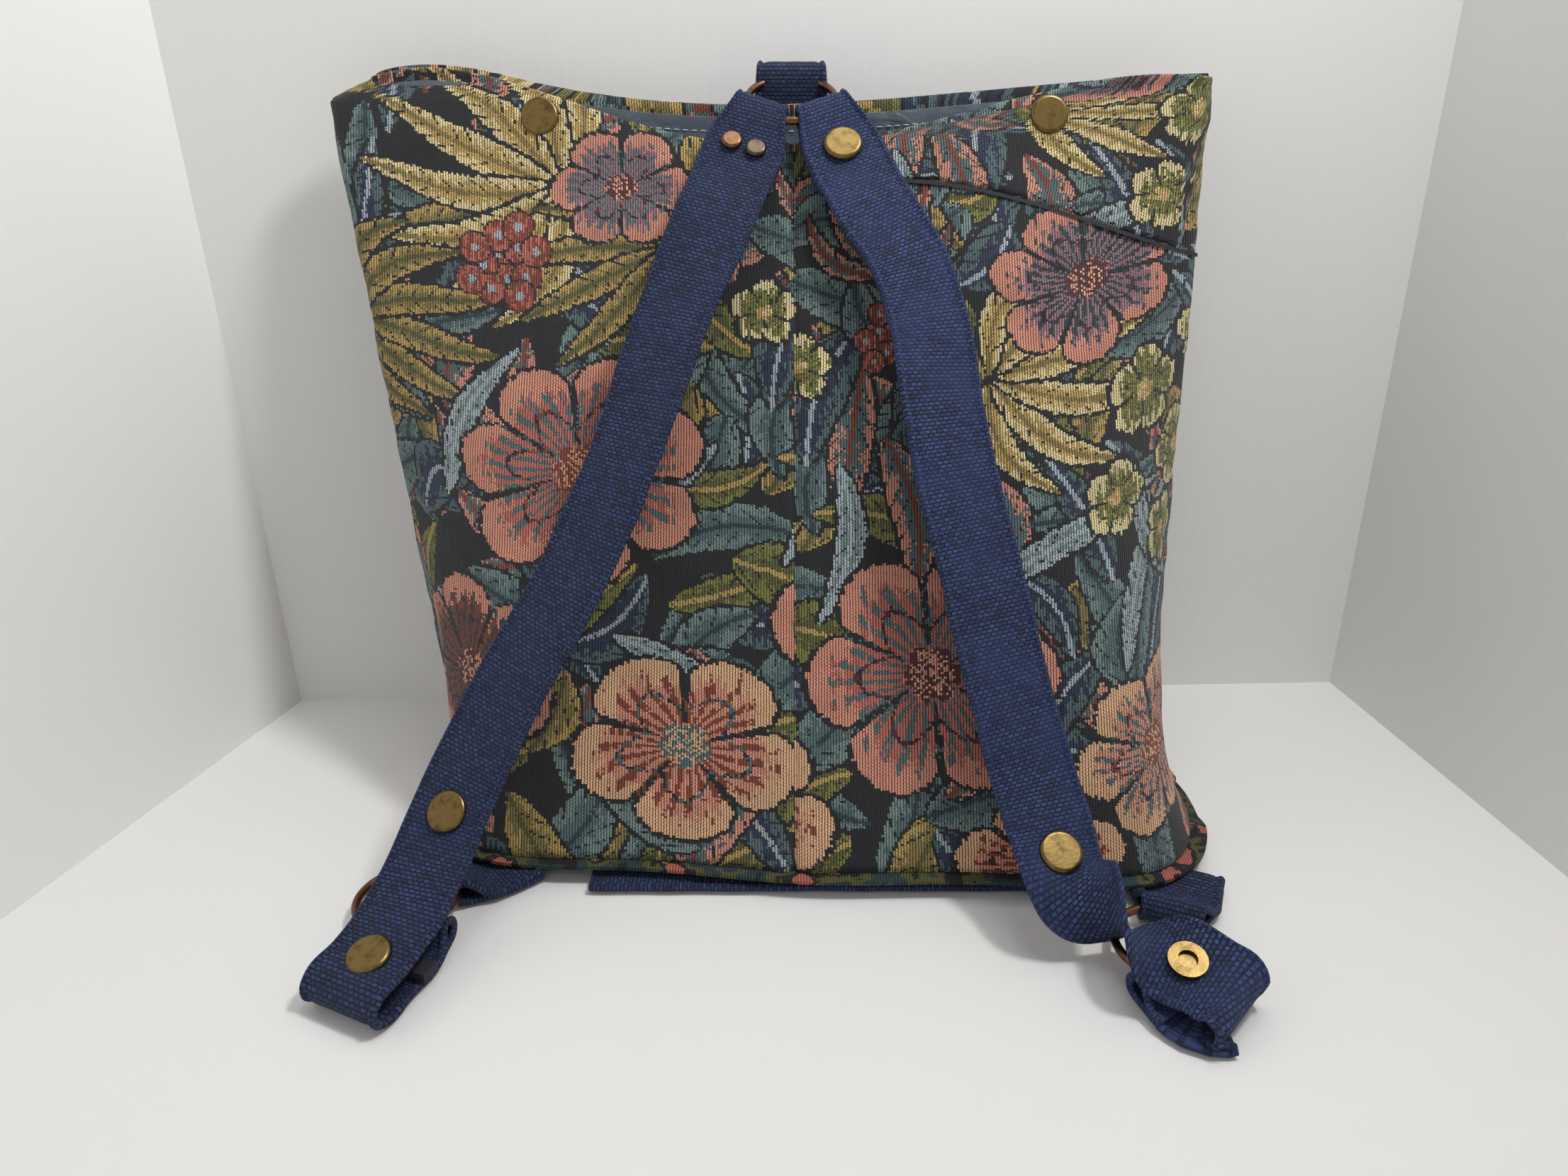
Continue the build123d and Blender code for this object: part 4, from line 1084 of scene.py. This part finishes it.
# Name, place, the point that it faces, size in metres and power in watts
LIGHTS = (
    ("key", (0.34, -0.10, 0.85), (0, 0.0, 0.1), 0.14, 4.4),
    ("top", (0.05, 0.02, 1.2), (0, -0.02, 0.1), 0.4, 2.0),
    ("fill", (-0.2, -1.1, 0.8), (0, 0, 0.13), 1.0, 2.3),
)
ROOM_TINT = (0.9, 0.95, 1.0, 1)
ROOM_STRENGTH = 0.13


# Operators
class BACKPACK_OT_stage(bpy.types.Operator):
    """Camera, white table and panels, and soft lights from above and the right"""

    bl_idname = "backpack.stage"
    bl_label = "Stage"

    def execute(self, context):
        data = bpy.data.cameras.new("camera")
        data.sensor_width = CAMERA_SENSOR
        data.lens = CAMERA_LENS
        camera = bpy.data.objects.new("camera", data)
        camera.location = CAMERA_PLACE
        camera.rotation_euler = (radians(90 - CAMERA_DOWN), 0, 0)
        context.scene.collection.objects.link(camera)
        context.scene.camera = camera
        material = board_material()
        for name, corners in (
            ("floor", FLOOR),
            ("back_board", (BOARDS[1], BOARDS[2], BOARDS[6], BOARDS[5])),
            ("left_board", (BOARDS[0], BOARDS[1], BOARDS[5], BOARDS[4])),
            ("right_board", (BOARDS[2], BOARDS[3], BOARDS[7], BOARDS[6])),
        ):
            mesh = bpy.data.meshes.new(name)
            dropped = [Vector(corner) - Vector((0, 0, BOARD_DROP)) for corner in corners]
            mesh.from_pydata(dropped, [], [(0, 1, 2, 3)])
            mesh.materials.append(material)
            board = bpy.data.objects.new(name, mesh)
            context.scene.collection.objects.link(board)
        for name, place, aim, size, power in LIGHTS:
            light = bpy.data.lights.new(name, "AREA")
            light.size = size
            light.energy = power
            lamp = bpy.data.objects.new(name, light)
            lamp.location = place
            lamp.rotation_euler = (Vector(aim) - Vector(place)).to_track_quat("-Z", "Y").to_euler()
            context.scene.collection.objects.link(lamp)
        world = bpy.data.worlds.new("room")
        world.use_nodes = True
        background = world.node_tree.nodes["Background"]
        set_node(world.node_tree, background, {"Color": ROOM_TINT, "Strength": ROOM_STRENGTH})
        context.scene.world = world
        context.scene.view_settings.view_transform = "Standard"
        return {"FINISHED"}


# Cloth pieces: shift of each one's pattern and the thin hems in millimetres, the lap's end in metres
REAR_COARSE = (1.5, 1.6)
REAR_OFFSET = (25, 12)
LAP_OFFSET = (-36, -70)
LAP_LEFT = 0.0312
THIN_HEM = 1.6
LINING_HEM = 0.5
LINING_CELL = (4.0, 4.0)


class BACKPACK_OT_walls(bpy.types.Operator):
    """Front and rear tapestry walls with their folded rims, and the lap with its piping"""

    bl_idname = "backpack.walls"
    bl_label = "Tapestry walls"

    def execute(self, context):
        cloth = context.scene.backpack_cloth
        material = tapestry_material()
        cell = (cloth.rib, cloth.float_length)
        front = Surface(FRONT_NODES, 1)
        lay_cloth("face_cloth", front, cloth, cell, material, FRONT_NODES, seam=True,
                  hem=cloth.hem)
        rear = Surface(("rear_panel",), -1, -1)
        coarse = (cell[0] * REAR_COARSE[0], cell[1] * REAR_COARSE[1])
        lay_cloth("rear_cloth", rear, cloth, coarse, material, ("rear_panel",),
                  offset=REAR_OFFSET, hem=THIN_HEM, turn_in=4)
        lap = Surface(("pocket_lap",), 1)
        both = Surface(("pocket_lap", "face_panel_right"), 1)
        lay_cloth("lap_cloth", lap, cloth, cell, material, ("pocket_lap",),
                  offset=LAP_OFFSET, left=LAP_LEFT, hem=THIN_HEM, outline=both)
        paint_nodes(("base_panel",), base_cloth_material())
        paint_nodes(("lap_piping",), plain_cloth_material("piping", "#23242b"))
        return {"FINISHED"}


# Two rows of stitches below the rear rim, in millimetres
STITCH_DROPS = (2.0, 5.2)
STITCH_LIFT = 0.25
STITCH_PITCH = 3.6
STITCH_LENGTH = 2.5
STITCH_RADIUS = 0.28


class BACKPACK_OT_lining(bpy.types.Operator):
    """Nylon lining of both walls, with the two rows of stitches under the rear rim"""

    bl_idname = "backpack.lining"
    bl_label = "Lining"

    def execute(self, context):
        cloth = context.scene.backpack_cloth
        material = lining_material(cloth.lining)
        rear = Surface(("lining_rear",), 1, -1)
        grid, out, up = lay_cloth("rear_lining", rear, cloth, LINING_CELL, material,
                                  ("lining_rear",), hem=LINING_HEM, pattern=False, turn_in=1)
        front = Surface(("lining_front",), -1, 1)
        lay_cloth("front_lining", front, cloth, LINING_CELL, material,
                  ("lining_front",), hem=LINING_HEM, pattern=False, turn_in=1)
        thread = plain_cloth_material("sewing_thread", "#b9bcc4")
        # The row just below the rim, before the fold's rows and the one that is turned in
        rim = grid[-len(FOLD_ANGLES) - 3]
        for index, drop in enumerate(STITCH_DROPS, start=1):
            row = rim - up * drop * MM + out * STITCH_LIFT * MM
            stitches(f"rim_stitches_{index}", row, out, STITCH_PITCH * MM, STITCH_LENGTH * MM,
                     STITCH_RADIUS * MM, thread)
        paint_nodes(("lining_base",), material)
        return {"FINISHED"}


class BACKPACK_OT_webbing(bpy.types.Operator):
    """Both shoulder straps, the ring tabs, the webbing under the base and the bound tail end"""

    bl_idname = "backpack.webbing"
    bl_label = "Webbing"

    def execute(self, context):
        webbing = context.scene.backpack_webbing
        colour = list(webbing.colour)
        shade = list(webbing.shade)
        plain = webbing_material("navy_webbing_plain", colour, shade, 0.25)
        worn = webbing_material("navy_webbing_worn", [c * 1.35 for c in colour], shade, 0.6)
        width = webbing.width
        thick = webbing.thickness
        band("left_strap_band", left_strap_stations(width), thick, plain, ("left_strap",))
        band("right_strap_band", right_strap_stations(width), thick, worn, ("right_strap",))
        band("top_tab_band", top_tab_stations(width), thick, plain, ("top_tab",), 0)
        for name, ring, angle in (
            ("base_tab_left", BASE_RING_LEFT, 40),
            ("base_tab_right", BASE_RING_RIGHT, 66),
        ):
            wire = wire_point(ring, angle)
            stations = floor_stations(wire, heading(angle), heading(angle + 90), 28, 28, width)
            band(f"{name}_band", stations, thick, plain, (name,), 0)
        strip = [(Vector((x, -40, LOWER_PLY)), Vector((0, 1, 0)), width) for x in (-76, -30, 16, 62, 108)]
        band("base_webbing_band", strip, thick, plain, ("base_webbing",), 0)
        paint_nodes(("left_strap_binding",), plain_cloth_material("tail_binding", "#2a2430"))
        return {"FINISHED"}


class BACKPACK_OT_hardware(bpy.types.Operator):
    """Antique plated snaps, rivets and rings"""

    bl_idname = "backpack.hardware"
    bl_label = "Hardware"

    def execute(self, context):
        metal = context.scene.backpack_metal
        brass = metal_material("antique_brass", list(metal.brass), 0.3)
        copper = metal_material("antique_copper", list(metal.copper), 0.26)
        dulled = [c * share for c, share in zip(metal.copper, (0.55, 0.8, 1.0))]
        bronze = metal_material("dark_bronze", dulled, 0.24)
        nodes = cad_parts
        paint_nodes([n for n in nodes if "snap" in n], brass)
        paint_nodes([n for n in nodes if n.endswith("_ring") or n.startswith("base_ring")], copper)
        paint_nodes(("rivet_head_1", "rivet_tail_1"), copper)
        paint_nodes(("rivet_head_2", "rivet_tail_2"), bronze)
        return {"FINISHED"}


class BACKPACK_PT_panel(bpy.types.Panel):
    """Buttons that build each group of pieces"""

    bl_idname = "BACKPACK_PT_panel"
    bl_label = "Backpack"
    bl_space_type = "VIEW_3D"
    bl_region_type = "UI"
    bl_category = "Backpack"

    def draw(self, context):
        for name in OPERATORS:
            self.layout.operator(name)
        for group in SETTINGS:
            settings = getattr(context.scene, group)
            for key in settings.__annotations__:
                self.layout.prop(settings, key)


SETTINGS = {
    "backpack_cloth": BackpackCloth,
    "backpack_webbing": BackpackWebbing,
    "backpack_metal": BackpackMetal,
}
OPERATORS = (
    "backpack.stage", "backpack.walls", "backpack.lining", "backpack.webbing", "backpack.hardware",
)
CLASSES = (
    *SETTINGS.values(), BACKPACK_OT_stage, BACKPACK_OT_walls, BACKPACK_OT_lining,
    BACKPACK_OT_webbing, BACKPACK_OT_hardware, BACKPACK_PT_panel,
)


def register():
    for cls in CLASSES:
        bpy.utils.register_class(cls)
    for name, group in SETTINGS.items():
        setattr(bpy.types.Scene, name, bpy.props.PointerProperty(type=group))


def unregister():
    for name in SETTINGS:
        delattr(bpy.types.Scene, name)
    for cls in reversed(CLASSES):
        bpy.utils.unregister_class(cls)


def main():
    register()
    for build in (bpy.ops.backpack.stage, bpy.ops.backpack.walls, bpy.ops.backpack.lining,
                  bpy.ops.backpack.webbing, bpy.ops.backpack.hardware):
        build()


if __name__ == "__main__":
    main()
